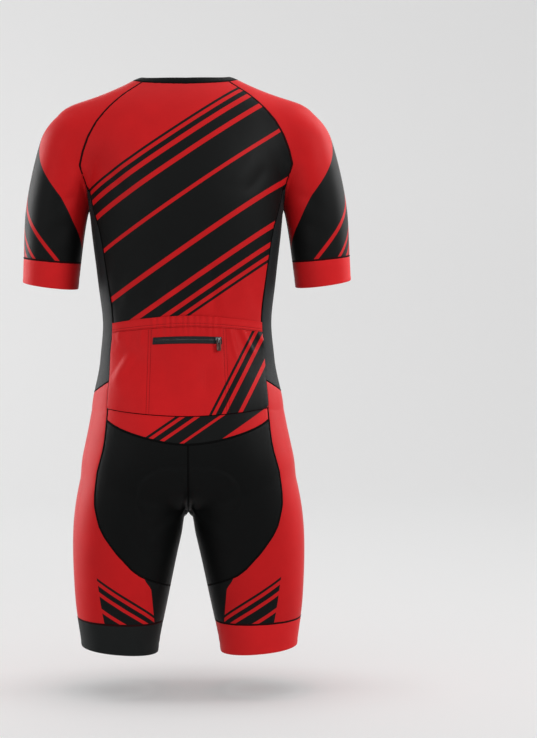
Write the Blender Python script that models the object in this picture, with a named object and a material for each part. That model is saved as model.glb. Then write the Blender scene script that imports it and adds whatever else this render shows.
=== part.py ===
# One-piece short-sleeved cycling skinsuit, filled out as if worn, its back towards +Y.
# Lengths are millimetres here and become metres as each piece is built. z = 0 is the
# shoulder end of the neck seam, +X is the wearer's left.
import math
import bmesh
import bpy
import numpy as np

MM = 0.001
CLOTH = 1.2            # knitted panels
BAND = 1.6             # cuffs, leg grippers and neck band
SEAM = 0.3             # space between two sewn panels
LAY = 0.3              # space between a panel and what lies on it
NECK_BAND_TALL = 9.0
CUFF_ROWS, LEG_BAND_ROWS = 2, 2
SLEEVE_COLUMNS, LEG_COLUMNS, SIDE_COLUMNS = 14, 16, 8
HALF_COLUMNS = 10      # columns across half of the back or the front
POCKET_BAND_TALL = 15.0
GATHERS = 11           # small pleats that the elastic draws into the middle pocket's edge
GATHER_PITCH = 10.6
GATHER_RISE = 1.3
POCKET_ZIP_LONG, POCKET_ZIP_TALL, POCKET_ZIP_Z = 113.0, 10.0, -428.0
FRONT_ZIP_WIDE = 10.0
ZIP_THICK = 1.2
PAD_THICK = 7.0

# Trunk: height, half width, depth to the back, depth to the front, squareness
TRUNK = [
    (20, 40, 44, 40, 2.0), (6, 68, 50, 47, 2.0), (0, 82, 53, 50, 2.0),
    (-10, 103, 57, 53, 2.0), (-25, 136, 66, 58, 2.0), (-42, 162, 76, 64, 2.05),
    (-65, 178, 87, 72, 2.1), (-100, 178, 100, 86, 2.2), (-150, 168, 112, 106, 2.3),
    (-200, 160, 117, 117, 2.3), (-250, 155, 112, 118, 2.3), (-300, 149, 101, 113, 2.3),
    (-350, 143, 90, 108, 2.3), (-400, 138, 83, 105, 2.3), (-450, 142, 88, 106, 2.3),
    (-500, 146, 101, 107, 2.3), (-550, 151, 114, 106, 2.3), (-600, 152, 121, 101, 2.3),
    (-640, 146, 117, 92, 2.2), (-680, 88, 84, 70, 2.1), (-700, 36, 40, 34, 2.0)]
TRUNK_END = -690
# Sleeve: height, centre across, centre deep, half width, half depth
ARM = [
    (-60, 172, 4, 52, 50), (-100, 185, 3, 53, 55), (-160, 200, 0, 54, 60),
    (-226, 214, -6, 51, 58), (-270, 219, -11, 48.5, 55), (-345, 226, -24, 45.5, 51)]
ARM_TOP, ARM_CAP, ARM_END = -100, 58, -360
# Leg: height, centre across, depth to the back, depth to the front, half width
LEG = [
    (-540, 80, 92, 84, 60), (-600, 89, 104, 92, 73), (-650, 94, 108, 96, 82),
    (-712, 97, 102, 97, 90), (-764, 103, 92, 95, 86.5), (-817, 108, 84, 90, 80),
    (-869, 111.5, 76, 84, 72.5), (-922, 113, 69, 77, 63.5), (-960, 114, 65, 73, 60)]
LEG_TOP = -540

# Neck seam: angle round from the back, height
NECK_SEAM = [(0, -15), (37, -13), (59, -9), (71, -5), (86, -1.5), (100, -4), (122, -24),
             (140, -47), (160, -67), (180, -75)]
RAGLAN_BACK, RAGLAN_FRONT = 59.4, 122.0
# Raglan seam: angle of the fan line about the sleeve's turning point, distance from it
FAN_X, FAN_Z = 88.0, -235.0
RAGLAN = [(95, 227), (82, 193), (73, 173), (62, 149), (51, 128), (39, 108), (32, 95), (23, 81)]
RAGLAN_ROWS = [95, 87, 79, 71, 63, 55, 47]
UNDERARM_ROWS, UNDERARM_DEEP, ARMHOLE_LEAN = 4, 41.0, 0.4
# Sleeve lines below the armpit: height at x = 163, rise outwards, rise backwards
CUFF_SEAM = (-298.0, 0.099, -0.10)
CUFF_HEM = (-341.0, 0.136, -0.13)
# Seam between the back and the side panel: height, angle round from the back
SIDE_SEAM = [(-187, 76), (-215, 73), (-243, 68.5), (-267, 67), (-302, 67.3), (-331, 67.5),
             (-360, 68), (-392, 68.3), (-427, 68.5), (-458, 67.5), (-496, 61.5), (-534, 58),
             (-560, 56.3)]
POCKET_TOP, HIP, POCKET_FOOT, TAIL = -400.0, -492.0, -535.5, -555.0
SIDE_SPLIT = ((POCKET_TOP, 9), (HIP, 4), (POCKET_FOOT, 2), (TAIL, 2))
HIP_DIP, FRONT_WAIST = -18.0, -575.0
# How far the back panel's lines hang lower in the middle: neck, next row, armhole, pocket
# top, hip, pocket foot, tail
BACK_DROP = (-6, -3, 0, 10.5, -4, -12.5, -37.5)
# Seam between the seat and the leg panel: height, angle round the leg from the back
SEAT_SEAM = [(-555, 28.8), (-591, 26), (-618, 27.5), (-640, 30.5), (-667, 31.6), (-687, 31.8),
             (-705, 29.3), (-731, 23.5), (-750, 15), (-770, 4.5), (-786, -6), (-802, -18.5),
             (-814, -38), (-823, -63), (-829, -90)]
SEAT_ROWS, CROTCH_ROWS = 12, 7


def spline(rows, column):
    """Natural cubic through one column of a table, ends held."""
    data = np.array(sorted(rows), float)
    k, v = data[:, 0], data[:, column]
    n, h = len(k), np.diff(data[:, 0])
    a, r = np.eye(n), np.zeros(n)
    for i in range(1, n - 1):
        a[i, i - 1:i + 2] = h[i - 1], 2 * (h[i - 1] + h[i]), h[i]
        r[i] = 6 * ((v[i + 1] - v[i]) / h[i] - (v[i] - v[i - 1]) / h[i - 1])
    m = np.linalg.solve(a, r)

    def value(x):
        x = np.clip(x, k[0], k[-1])
        i = np.clip(np.searchsorted(k, x) - 1, 0, n - 2)
        p, q = (k[i + 1] - x) / h[i], (x - k[i]) / h[i]
        bend = ((p ** 3 - p) * m[i] + (q ** 3 - q) * m[i + 1]) * h[i] ** 2 / 6
        return p * v[i] + q * v[i + 1] + bend
    return value


trunk_table = [spline(TRUNK, c) for c in range(1, 5)]
arm_table = [spline(ARM, c) for c in range(1, 5)]
leg_table = [spline(LEG, c) for c in range(1, 5)]
neck_height = spline(NECK_SEAM, 1)
raglan_reach = spline(RAGLAN, 1)
side_angle = spline(SIDE_SEAM, 1)
seat_angle = spline(SEAT_SEAM, 1)


def oval(dx, dy, wide, back, front, power):
    """Signed distance, near enough, to an oval section."""
    deep = np.where(dy > 0, back, front)
    g = (np.abs(dx / wide) ** power + np.abs(dy / deep) ** power) ** (1 / power)
    r = np.hypot(dx, dy)
    return np.where(g > 1e-9, r * (1 - 1 / np.maximum(g, 1e-9)), -np.minimum(wide, deep))


def blend(a, b, k):
    h = np.maximum(k - np.abs(a - b), 0) / k
    return np.minimum(a, b) - h * h * k / 4


def figure(p, arms=True):
    """Negative inside the filled-out suit, zero on its outside."""
    x, y, z = p[..., 0], p[..., 1], p[..., 2]
    wide, back, front, power = [f(z) for f in trunk_table]
    d = np.maximum(oval(x, y, wide, back, front, power), TRUNK_END - z)
    if arms:
        cx, cy, rx, ry = [f(z) for f in arm_table]
        arm = oval(np.abs(x) - cx, y - cy, rx, ry, ry, 2.0)
        over = np.maximum(z - ARM_TOP, 0) * 50 / ARM_CAP
        arm = np.where(over > 0, np.hypot(np.maximum(arm + 50, 0), over) - 50, arm)
        t = np.clip((z + 215) / 105, 0, 1)
        d = np.where(z > ARM_END, blend(d, arm, 3 + 37 * t * t * (3 - 2 * t)), d)
    cx, back, front, rx = [f(z) for f in leg_table]
    over = np.maximum(z - LEG_TOP, 0)
    legs = []
    for side in (1, -1):
        leg = oval(side * x - cx, y, rx, back, front, 2.15)
        legs.append(np.where(over > 0, np.hypot(np.maximum(leg + 60, 0), over) - 60, leg))
    return blend(d, blend(legs[0], legs[1], 12), 45)


def body(p):
    return figure(p, False)


def outward(p):
    """Unit direction straight out of the form at each point."""
    g = np.zeros(p.shape)
    for k in range(3):
        e = np.zeros(3)
        e[k] = 3.0
        g[..., k] = figure(p + e) - figure(p - e)
    return g / np.linalg.norm(g, axis=-1, keepdims=True)


def cast(origin, direction, shape=figure):
    """Where a line from inside first leaves the form."""
    o, d = np.broadcast_arrays(np.asarray(origin, float), np.asarray(direction, float))
    d = d / np.linalg.norm(d, axis=-1, keepdims=True)
    r = np.arange(0, 420, 1.0)
    out = shape(o[..., None, :] + d[..., None, :] * r[:, None]) > 0
    i = np.argmax(out, axis=-1)
    lo, hi = r[np.maximum(i - 1, 0)], r[i]
    for _ in range(26):
        mid = (lo + hi) / 2
        f = shape(o + d * mid[..., None])
        lo, hi = np.where(f > 0, lo, mid), np.where(f > 0, mid, hi)
    return o + d * lo[..., None]


def trunk_centre(z):
    return np.zeros_like(z)


def leg_centre(z):
    return leg_table[0](z)


def round_points(angle, z, centre, shape=figure):
    """Points at an angle, in degrees from the back, round an upright axis."""
    angle, z = np.broadcast_arrays(np.asarray(angle, float), np.asarray(z, float))
    a = np.radians(angle)
    o = np.stack([centre(z), np.zeros_like(z), z], -1)
    return cast(o, np.stack([np.sin(a), np.cos(a), np.zeros_like(a)], -1), shape)


def round_angle(p, centre):
    """Angle round the axis in degrees, from -90 at the inside to 270."""
    a = np.degrees(np.arctan2(p[..., 0] - centre(p[..., 2]), p[..., 1]))
    return np.where(a < -90.5, a + 360, a)


def resample(p, n):
    """n equal steps along a line of points."""
    s = np.concatenate([[0], np.cumsum(np.linalg.norm(np.diff(p, axis=0), axis=1))])
    t = np.linspace(0, s[-1], n + 1)
    return np.stack([np.interp(t, s, p[:, k]) for k in range(3)], -1)


def coons(top, foot, left, right):
    """Fill between four lines of (angle, height)."""
    u = np.linspace(0, 1, len(top))[None, :, None]
    v = np.linspace(0, 1, len(left))[:, None, None]
    edge = (1 - v) * top[None] + v * foot[None] + (1 - u) * left[:, None] + u * right[:, None]
    corner = (1 - v) * ((1 - u) * top[0] + u * top[-1]) + v * ((1 - u) * foot[0] + u * foot[-1])
    return edge - corner


def patch(top, foot, left, right, centre, shape=figure, lift=None):
    """A panel: four seams, and between them points found round the axis."""
    flat = [np.stack([round_angle(q, centre), q[:, 2]], -1) for q in (top, foot, left, right)]
    g = coons(*flat)
    if lift is not None:
        g[..., 1] = lift(g)
    p = round_points(g[..., 0], g[..., 1], centre, shape)
    p[0], p[-1], p[:, 0], p[:, -1] = top, foot, left, right
    return p


def mirror(p):
    return p * np.array([-1, 1, 1])


# Seams of the left half
def neck_points(angle):
    return round_points(angle, neck_height(np.minimum(np.abs(angle), 180)), trunk_centre)


def raglan_line(side):
    """Raglan seam from the neck to the armpit, on the back (1) or the front (-1)."""
    angles = np.array(RAGLAN_ROWS)
    r, a = raglan_reach(angles), np.radians(angles)
    o = np.stack([FAN_X + r * np.cos(a), np.zeros_like(a), FAN_Z + r * np.sin(a)], -1)
    p = cast(o, (0, side, 0))
    p[0] = neck_points(np.array([RAGLAN_BACK if side > 0 else RAGLAN_FRONT]))[0]
    under = np.array([armhole_fold(y) for y in np.linspace(side * UNDERARM_DEEP, 0, 24)])
    return np.vstack([p, resample(under, UNDERARM_ROWS)])


def armhole_fold(y):
    """Highest point of the gap between the sleeve and the trunk at a depth y."""
    x = np.linspace(145, 190, 91)
    hi, lo = -150.0, -260.0
    for _ in range(30):
        mid = (hi + lo) / 2
        f = figure(np.stack([x, np.full_like(x, y), np.full_like(x, mid)], -1))
        hi, lo = (hi, mid) if f.max() > 0 else (mid, lo)
    return np.array([x[np.argmax(f)], y, mid])


ARMPIT = armhole_fold(0.0)
ARMPIT_FAN = math.degrees(math.atan2(ARMPIT[2] - FAN_Z, ARMPIT[0] - FAN_X))
N_RAGLAN = len(RAGLAN_ROWS)
KEY_ROWS = np.cumsum([N_RAGLAN] + [n for z, n in SIDE_SPLIT])
raglan = {side: raglan_line(side) for side in (1, -1)}


def side_seam(side):
    """Seam between the side panel and the back (1) or the front (-1), armhole to tail."""
    def curve(z):
        a = side_angle(z)
        return round_points(a if side > 0 else 180 - a, z, trunk_centre)
    top = raglan[side][N_RAGLAN]
    rows, start = [top[None]], top[2] - 10.0
    for end, n in SIDE_SPLIT:
        line = curve(np.linspace(start, end, 160))
        if len(rows) == 1:
            line = np.vstack([top, line])
        rows.append(resample(line, n)[1:])
        start = end
    return np.vstack(rows)


seam = {side: side_seam(side) for side in (1, -1)}
HIP_ROW = KEY_ROWS[2] - N_RAGLAN


def seat_seam(side):
    """Curved seam from the tail round the thigh to the inside of the leg."""
    def curve(z):
        a = seat_angle(z)
        return round_points(a if side > 0 else 180 - a, z, leg_centre, body)
    line = curve(np.linspace(TAIL, SEAT_SEAM[-1][0], 240))
    line[0] = seam[side][-1]
    return resample(line, SEAT_ROWS + HALF_COLUMNS)


seat_line = {side: seat_seam(side) for side in (1, -1)}
INSEAM_TOP = seat_line[1][-1]


def centre_seam(side, start, n):
    """Seam under the body from the tail or the waist to the crotch."""
    a = np.radians(np.linspace(0, 90, 90))
    top = cast(np.array([0, 0, start]), (0, side, 0), body)
    o = np.array([0, 0, -640.0])
    first = math.atan2(o[2] - start, abs(top[1]))
    a = first + (math.pi / 2 - first) * np.linspace(0, 1, 120)
    p = cast(o, np.stack([0 * a, side * np.cos(a), -np.sin(a)], -1), body)
    p[0] = top
    return resample(p, n)


def inseam(z):
    return round_points(np.full_like(z, -90.0), z, leg_centre, body)


def gripper_height(angle):
    a = np.radians(angle)
    return -880.5 + 3 * np.sin(a) - 2 * np.cos(a)


def hem_height(angle):
    a = np.radians(angle)
    return -929 + 6 * np.sin(a) - 2 * np.cos(a)


# Panels of the left half, as grids of points on the outside
def back_grid():
    left = np.vstack([raglan[1][:N_RAGLAN + 1], seam[1][1:]])
    w = np.linspace(1, -1, 2 * HALF_COLUMNS + 1)
    drop = np.interp(np.arange(len(left)), [0, 1, *KEY_ROWS], BACK_DROP)
    angle = round_angle(left, trunk_centre)[:, None] * w
    p = round_points(angle, left[:, 2:] + drop[:, None] * (1 - w ** 2), trunk_centre)
    p[0] = neck_points(RAGLAN_BACK * w)
    p[:, 0], p[:, -1] = left, mirror(left)
    return p


def front_grid():
    left = np.vstack([raglan[-1][:N_RAGLAN + 1], seam[-1][1:]])
    x = FRONT_ZIP_WIDE / 2 + SEAM / 2
    z = np.linspace(neck_height(180.0), FRONT_WAIST, len(left))
    right = cast(np.stack([np.full_like(z, x), 0 * z, z], -1), (0, -1, 0))
    w = np.linspace(0, 1, HALF_COLUMNS + 1)
    end = round_angle(right, trunk_centre)
    top = neck_points(RAGLAN_FRONT + (end[0] - RAGLAN_FRONT) * w)
    first = round_angle(left[-1:], trunk_centre)[0]
    foot = round_points(first + (end[-1] - first) * w,
                        TAIL + (FRONT_WAIST - TAIL) * (1 - (1 - w) ** 2), trunk_centre, body)
    top[-1], foot[-1], foot[0] = right[0], right[-1], left[-1]
    return patch(top, foot, left, right, trunk_centre)


def side_grid():
    under = [raglan[s][N_RAGLAN:] for s in (1, -1)]
    top = np.vstack([under[0], under[1][-2::-1]])
    left, right = seam[1][:HIP_ROW + 1], seam[-1][:HIP_ROW + 1]
    a, b = [round_angle(q[-1:], trunk_centre)[0] for q in (left, right)]
    w = np.linspace(-1, 1, SIDE_COLUMNS + 1)
    foot = round_points((a + b) / 2 + (b - a) / 2 * w, HIP + HIP_DIP * (1 - w ** 2),
                        trunk_centre, body)
    foot[0], foot[-1] = left[-1], right[-1]
    return patch(top, foot, left, right, trunk_centre)


def sleeve_rows():
    """Lines round the sleeve: a point inside, two directions across, the two ends."""
    rows = []
    for i in range(1, N_RAGLAN + UNDERARM_ROWS + 1):
        ends = raglan[1][i], raglan[-1][i]
        dx, dz = ends[0][0] - FAN_X, ends[0][2] - FAN_Z
        r, psi = math.hypot(dx, dz), math.degrees(math.atan2(dz, dx))
        w = min(max((39 - psi) / (39 - ARMPIT_FAN), 0), 1)
        d = np.array([dx / r, 0, dz / r])
        k = np.array([FAN_X, 0, FAN_Z]) + d * (r + (125 - r) * w)
        rows.append((k, d, np.array([0, 1.0, 0]), ends))
    start = (ARMPIT[2], math.tan(math.radians(ARMPIT_FAN)), 0.0)
    for a, b, n in ((start, CUFF_SEAM, 4), (CUFF_SEAM, CUFF_HEM, CUFF_ROWS)):
        for t in np.linspace(0, 1, n + 1)[1:]:
            z, out, back = [p + (q - p) * t for p, q in zip(a, b)]
            z += out * 50
            cx, cy = arm_table[0](z), arm_table[1](z)
            d, e = np.array([1, 0, out]), np.array([0, 1, back])
            rows.append((np.array([cx, cy, z]), d / np.linalg.norm(d), e / np.linalg.norm(e), None))
    return rows


def sleeve_grid():
    w = np.linspace(0, 1, SLEEVE_COLUMNS + 1)
    grid = [neck_points(RAGLAN_BACK + (RAGLAN_FRONT - RAGLAN_BACK) * w)]
    for k, d, e, ends in sleeve_rows():
        a, b = math.pi, -math.pi
        if ends is not None and abs(ends[0][1]) > 1e-6:
            a, b = [math.atan2((q - k) @ e, (q - k) @ d) for q in ends]
        phi = (a + (b - a) * w)[:, None]
        line = cast(k, np.cos(phi) * d + np.sin(phi) * e)
        if ends is not None:
            line[0], line[-1] = ends
        grid.append(line)
    return np.array(grid)


def leg_grid():
    """Leg panel from the hip to the gripper seam; it closes on itself below the seat."""
    lines = []
    for side in (1, -1):
        z = np.linspace(INSEAM_TOP[2], gripper_height(-90.0), 3)
        tail = inseam(z[1:])
        lines.append(np.vstack([seam[side][HIP_ROW:], seat_line[side][1:], tail]))
    ang = [round_angle(q, leg_centre) for q in lines]
    ang[1] = np.where(ang[1] < 0, ang[1] + 360, ang[1])
    ang[0] = np.where(ang[0] > 260, ang[0] - 360, ang[0])
    n = len(lines[0])
    w = np.linspace(0, 1, LEG_COLUMNS + 1)
    a = ang[0][:, None] + (ang[1] - ang[0])[:, None] * w
    side_z = np.interp(np.arange(n), (0, n - 3, n - 1), (HIP + HIP_DIP, INSEAM_TOP[2], -877.5))
    bulge = np.sin(math.pi * w) ** 2
    z = lines[0][:, 2:] * (1 - bulge) + side_z[:, None] * bulge
    z[-1] = gripper_height(a[-1])
    p = round_points(a, z, leg_centre, body)
    p[:, 0], p[:, -1] = lines
    top = side_grid()[-1]
    p[0, ::2] = top
    return p


def leg_band_grid():
    a = np.linspace(-90, 270, LEG_COLUMNS + 1)
    rows = [gripper_height(a) + (hem_height(a) - gripper_height(a)) * t
            for t in np.linspace(0, 1, LEG_BAND_ROWS + 1)]
    return np.array([round_points(a, z, leg_centre, body) for z in rows])


def seat_grid(side, top, start):
    """Seat (1) or front of the shorts (-1) between the trunk, the leg panel and the inseam."""
    n = len(top) - 1
    rows = SEAT_ROWS + HALF_COLUMNS - n
    left, foot = seat_line[side][:rows + 1], seat_line[side][rows:]
    crotch = CROTCH_ROWS - (SEAT_ROWS - rows)
    middle = centre_seam(side, start, crotch)
    z = np.linspace(middle[-1][2], INSEAM_TOP[2], 120)[6:]
    leg_side = resample(np.vstack([middle[-1], inseam(z)]), rows - crotch)[1:]
    right = np.vstack([middle, leg_side])
    foot = foot.copy()
    foot[-1] = right[-1]
    if side > 0:
        return patch(top, foot, left, right, leg_centre, body)
    flip = np.array([1, -1, 1])
    lines = [q * flip for q in (top, foot, left, right)]
    g = coons(*[np.stack([round_angle(q, leg_centre), q[:, 2]], -1) for q in lines])
    p = round_points(180 - g[..., 0], g[..., 1], leg_centre, body)
    p[0], p[-1], p[:, 0], p[:, -1] = top, foot, left, right
    return p


# Solids
def build(name, verts, faces, colour, rough=0.6, metal=0.0):
    mesh = bpy.data.meshes.new(name)
    mesh.from_pydata([tuple(v * MM) for v in np.asarray(verts)], [], faces)
    mesh.validate()
    obj = bpy.data.objects.new(name, mesh)
    bpy.context.collection.objects.link(obj)
    mat = bpy.data.materials.new(name)
    mat.use_nodes = True
    shade = mat.node_tree.nodes["Principled BSDF"]
    shade.inputs["Base Color"].default_value = (*colour, 1)
    shade.inputs["Roughness"].default_value = rough
    shade.inputs["Metallic"].default_value = metal
    mesh.materials.append(mat)
    return obj


def inset(p, amount, edges):
    """Draws the named edges of a grid inwards along the cloth."""
    q = p.copy()
    for edge in edges:
        view = {"top": p, "foot": p[::-1], "left": p.transpose(1, 0, 2),
                "right": p.transpose(1, 0, 2)[::-1]}[edge]
        target = {"top": q, "foot": q[::-1], "left": q.transpose(1, 0, 2),
                  "right": q.transpose(1, 0, 2)[::-1]}[edge]
        along = np.gradient(view[0], axis=0)
        along /= np.linalg.norm(along, axis=1, keepdims=True) + 1e-12
        inward = view[1] - view[0]
        inward -= (inward * along).sum(1, keepdims=True) * along
        inward /= np.linalg.norm(inward, axis=1, keepdims=True) + 1e-12
        target[0] += inward * amount
    return q


def shell(name, outer, inner, colour, rough=0.6, turn_at=None):
    """A wall between two matching grids; past column turn_at the facets lean the other way."""
    r, c = outer.shape[:2]
    verts = np.vstack([outer.reshape(-1, 3), inner.reshape(-1, 3)])
    n, faces = r * c, []
    rank = verts @ (0.0, 0.11, 1.0) + 0.37 * np.abs(verts[:, 0])
    for i in range(r - 1):
        for j in range(c - 1):
            a, b, d, e = i * c + j, (i + 1) * c + j, (i + 1) * c + j + 1, i * c + j + 1
            if turn_at is not None and j >= turn_at:
                a, b, d, e = b, d, e, a
            for t in ((a, b, d), (a, d, e)):
                faces += [t, tuple(n + v for v in t[::-1])]
    rim = [[(0, j) for j in range(c)], [(r - 1, j) for j in range(c - 1, -1, -1)],
           [(i, 0) for i in range(r - 1, -1, -1)], [(i, c - 1) for i in range(r)]]
    for line in rim:
        for (a, b), (d, e) in zip(line, line[1:]):
            p, q = a * c + b, d * c + e
            high = rank[p] > rank[q]
            faces += [(p, q, n + q), (p, n + q, n + p)] if high else [(p, q, n + p), (q, n + q, n + p)]
    v = verts
    volume = sum(v[a] @ np.cross(v[b], v[d]) for a, b, d in faces)
    if volume < 0:
        faces = [f[::-1] for f in faces]
    return build(name, verts, faces, colour, rough)


def panel(name, p, colour, thick=CLOTH, edges=("top", "foot", "left", "right"), rough=0.6,
          normal=None, even=False, turn_at=None):
    """A cloth wall whose outside is the grid of points; even puts odd edge points on chords."""
    n = outward(p) if normal is None else normal
    outer, inner = p.copy(), p - n * thick
    if even:
        for g in (outer, inner):
            g[0, 1:-1:2] = (g[0, :-2:2] + g[0, 2::2]) / 2
    outer, inner = inset(outer, SEAM / 2, edges), inset(inner, SEAM / 2, edges)
    return shell(name, outer, inner, colour, rough, turn_at)


def sample(p, u, v):
    """Points on the flat facets of a grid at column u and row v."""
    u, v = np.broadcast_arrays(np.asarray(u, float), np.asarray(v, float))
    j = np.clip(u.astype(int), 0, p.shape[1] - 2)
    i = np.clip(v.astype(int), 0, p.shape[0] - 2)
    s, t = (u - j)[..., None], (v - i)[..., None]
    below = p[i, j] + t * (p[i + 1, j] - p[i, j]) + s * (p[i + 1, j + 1] - p[i + 1, j])
    above = p[i, j] + s * (p[i, j + 1] - p[i, j]) + t * (p[i + 1, j + 1] - p[i, j + 1])
    return np.where(t >= s, below, above)


def block(name, frame, outline, low, high, colour, rough=0.35, metal=1.0, holes=()):
    """A flat plate: outline in (across, up), from low to high off the cloth."""
    origin, right, up, out = frame
    lines = [outline] + list(holes)
    verts, faces = [], []
    for line in lines:
        base = len(verts)
        for h in (low, high):
            verts += [origin + right * a + up * b + out * h for a, b in line]
        m = len(line)
        for i in range(m):
            k = (i + 1) % m
            faces.append((base + i, base + k, base + m + k, base + m + i))
    if holes:
        m, h = len(outline), len(holes[0])
        start = 2 * m
        for layer in (0, 1):
            for i in range(m):
                k = (i + 1) % m
                faces.append((layer * m + i, layer * m + k, start + layer * h + k,
                              start + layer * h + i))
    else:
        m = len(outline)
        faces += [tuple(range(m)), tuple(range(m, 2 * m))]
    obj = build(name, verts, faces, colour, rough, metal)
    tidy_normals(obj)
    return obj


def tidy_normals(obj):
    bm = bmesh.new()
    bm.from_mesh(obj.data)
    bmesh.ops.recalc_face_normals(bm, faces=bm.faces)
    bm.to_mesh(obj.data)
    bm.free()


def rounded(wide, tall, radius, cx=0.0, cy=0.0, per_corner=3):
    """Rounded rectangle, the same number of points whatever its size."""
    pts = []
    for q, (sx, sy) in enumerate(((1, 1), (-1, 1), (-1, -1), (1, -1))):
        for i in range(per_corner):
            a = math.radians(90 * q + 90 * i / (per_corner - 1))
            pts.append((cx + sx * (wide / 2 - radius) + radius * math.cos(a),
                        cy + sy * (tall / 2 - radius) + radius * math.sin(a)))
    return pts


def frame_at(point, normal, down):
    """Right, up and out directions where a zip slider sits."""
    out = normal / np.linalg.norm(normal)
    up = -(down - (down @ out) * out)
    up /= np.linalg.norm(up)
    return point, np.cross(up, out), up, out


def slider(name, frame, colour):
    """Slider body with a bridge that carries the pull; the bar's line is 2.9 off the cloth."""
    origin, right, up, out = frame
    body_obj = block(name, frame, rounded(8.6, 9.4, 1.8), 0.0, 1.8, colour)
    side_on = (origin - right * 1.2, out, up, right)
    arch = [(1.2, -3.4), (4.9, -3.0), (4.9, 3.0), (1.2, 3.4), (1.2, 1.9), (3.9, 1.7),
            (3.9, -1.7), (1.2, -1.9)]
    arch_obj = block(name + "_bridge", side_on, arch, 0.0, 2.4, colour)
    joined = body_obj.modifiers.new("bridge", "BOOLEAN")
    joined.operation, joined.solver, joined.object = "UNION", "EXACT", arch_obj
    depth = bpy.context.evaluated_depsgraph_get()
    mesh = bpy.data.meshes.new_from_object(body_obj.evaluated_get(depth))
    body_obj.modifiers.clear()
    body_obj.data = mesh
    bpy.data.objects.remove(arch_obj, do_unlink=True)
    return body_obj


def pull(name, frame, wide, tall, colour):
    """Flat tab that swings on a bar under the slider's bridge."""
    plate = rounded(wide, tall, 1.6, 0.0, 0.6 - tall / 2)
    hole = rounded(3.8, 4.6, 0.8, 0.0, -0.6 - 2.3)
    return block(name, frame, plate, 2.25, 3.45, colour, holes=(hole,))


for old in list(bpy.data.objects):
    bpy.data.objects.remove(old, do_unlink=True)

RED, DEEP_RED = (0.58, 0.010, 0.012), (0.45, 0.010, 0.012)
BLACK, CHARCOAL, STEEL = (0.010, 0.010, 0.011), (0.022, 0.023, 0.025), (0.30, 0.28, 0.25)

back = back_grid()
front = front_grid()
sleeve = sleeve_grid()
side_piece = side_grid()
leg = leg_grid()
leg_band = leg_band_grid()
half = HALF_COLUMNS
seat = seat_grid(1, back[-1, :half + 1], float(back[-1, half, 2]))
waist_mid = cast(np.array([0.0, 0, FRONT_WAIST]), (0, -1, 0), body)
shorts = seat_grid(-1, np.vstack([front[-1], waist_mid]), FRONT_WAIST)

# Under the arm the two walls lean away from each other
lean = np.array([ARMHOLE_LEAN, 0, 0])
side_out, sleeve_out = outward(side_piece), outward(sleeve)
side_out[0, 1:-1] += lean
fold = slice(N_RAGLAN + 1, N_RAGLAN + UNDERARM_ROWS + 1)
sleeve_out[fold, 0] -= lean
sleeve_out[fold, -1] -= lean
side_out, sleeve_out = [n / np.linalg.norm(n, axis=-1, keepdims=True)
                        for n in (side_out, sleeve_out)]

panel("back_panel", back, RED)
cuff_row = len(sleeve) - 1 - CUFF_ROWS
for word, turn in (("left", lambda p: p), ("right", mirror)):
    panel("front_" + word, turn(front), RED, normal=turn(outward(front)))
    panel("side_panel_" + word, turn(side_piece), CHARCOAL, normal=turn(side_out),
          turn_at=SIDE_COLUMNS // 2)
    panel("sleeve_" + word, turn(sleeve[:cuff_row + 1]), RED,
          normal=turn(sleeve_out[:cuff_row + 1]), turn_at=SLEEVE_COLUMNS // 2)
    panel("cuff_" + word, turn(sleeve[cuff_row:]), RED, BAND, normal=turn(sleeve_out[cuff_row:]))
    panel("seat_" + word, turn(seat), BLACK, normal=turn(outward(seat)))
    panel("shorts_front_" + word, turn(shorts), BLACK, normal=turn(outward(shorts)))
    panel("leg_" + word, turn(leg), RED, normal=turn(outward(leg)), even=True,
          turn_at=LEG_COLUMNS // 2)
    panel("leg_band_" + word, turn(leg_band), BLACK if word == "left" else RED, BAND,
          normal=turn(outward(leg_band)))

# Neck band, open at the front zip
edge = round_angle(front[:1, -1], trunk_centre)[0]
angles = np.concatenate([edge + (RAGLAN_FRONT - edge) * np.linspace(0, 1, 11)[:-1],
                         RAGLAN_FRONT + (RAGLAN_BACK - RAGLAN_FRONT) * np.linspace(0, 1, 15)[:-1],
                         RAGLAN_BACK * np.linspace(1, -1, 21)[:-1],
                         -RAGLAN_BACK + (RAGLAN_BACK - RAGLAN_FRONT) * np.linspace(0, 1, 15)[:-1],
                         -RAGLAN_FRONT + (RAGLAN_FRONT - edge) * np.linspace(0, 1, 11)])
seam_ring = neck_points(angles)
lean = 0.95 - 0.09 * np.sin(np.radians(angles))[:, None] ** 2
rim_ring = seam_ring * np.hstack([lean, lean, np.ones_like(lean)]) + (0, 0, NECK_BAND_TALL)
band = np.array([seam_ring, rim_ring])
across = np.cross(np.gradient(seam_ring, axis=0), rim_ring - seam_ring)
across *= np.sign((across * seam_ring * (1, 1, 0)).sum(1, keepdims=True))
across /= np.linalg.norm(across, axis=1, keepdims=True)
panel("neck_band", band, BLACK, BAND, normal=np.array([across, across]))

# Front zip between the two front panels, from the neck band's edge to the waist seam
top_x = FRONT_ZIP_WIDE / 2 - SEAM / 2
z = front[:, -1, 2]
strip = np.stack([cast(np.stack([np.full_like(z, x), 0 * z, z], -1), (0, -1, 0))
                  for x in (top_x, 0.0, -top_x)], 1)
rim = strip[0] * (1, rim_ring[0, 1] / seam_ring[0, 1], 1) + (0, 0, NECK_BAND_TALL)
strip = np.concatenate([rim[None], strip])
shell("front_zip", strip, strip - outward(strip) * ZIP_THICK, BLACK, 0.4)

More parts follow.
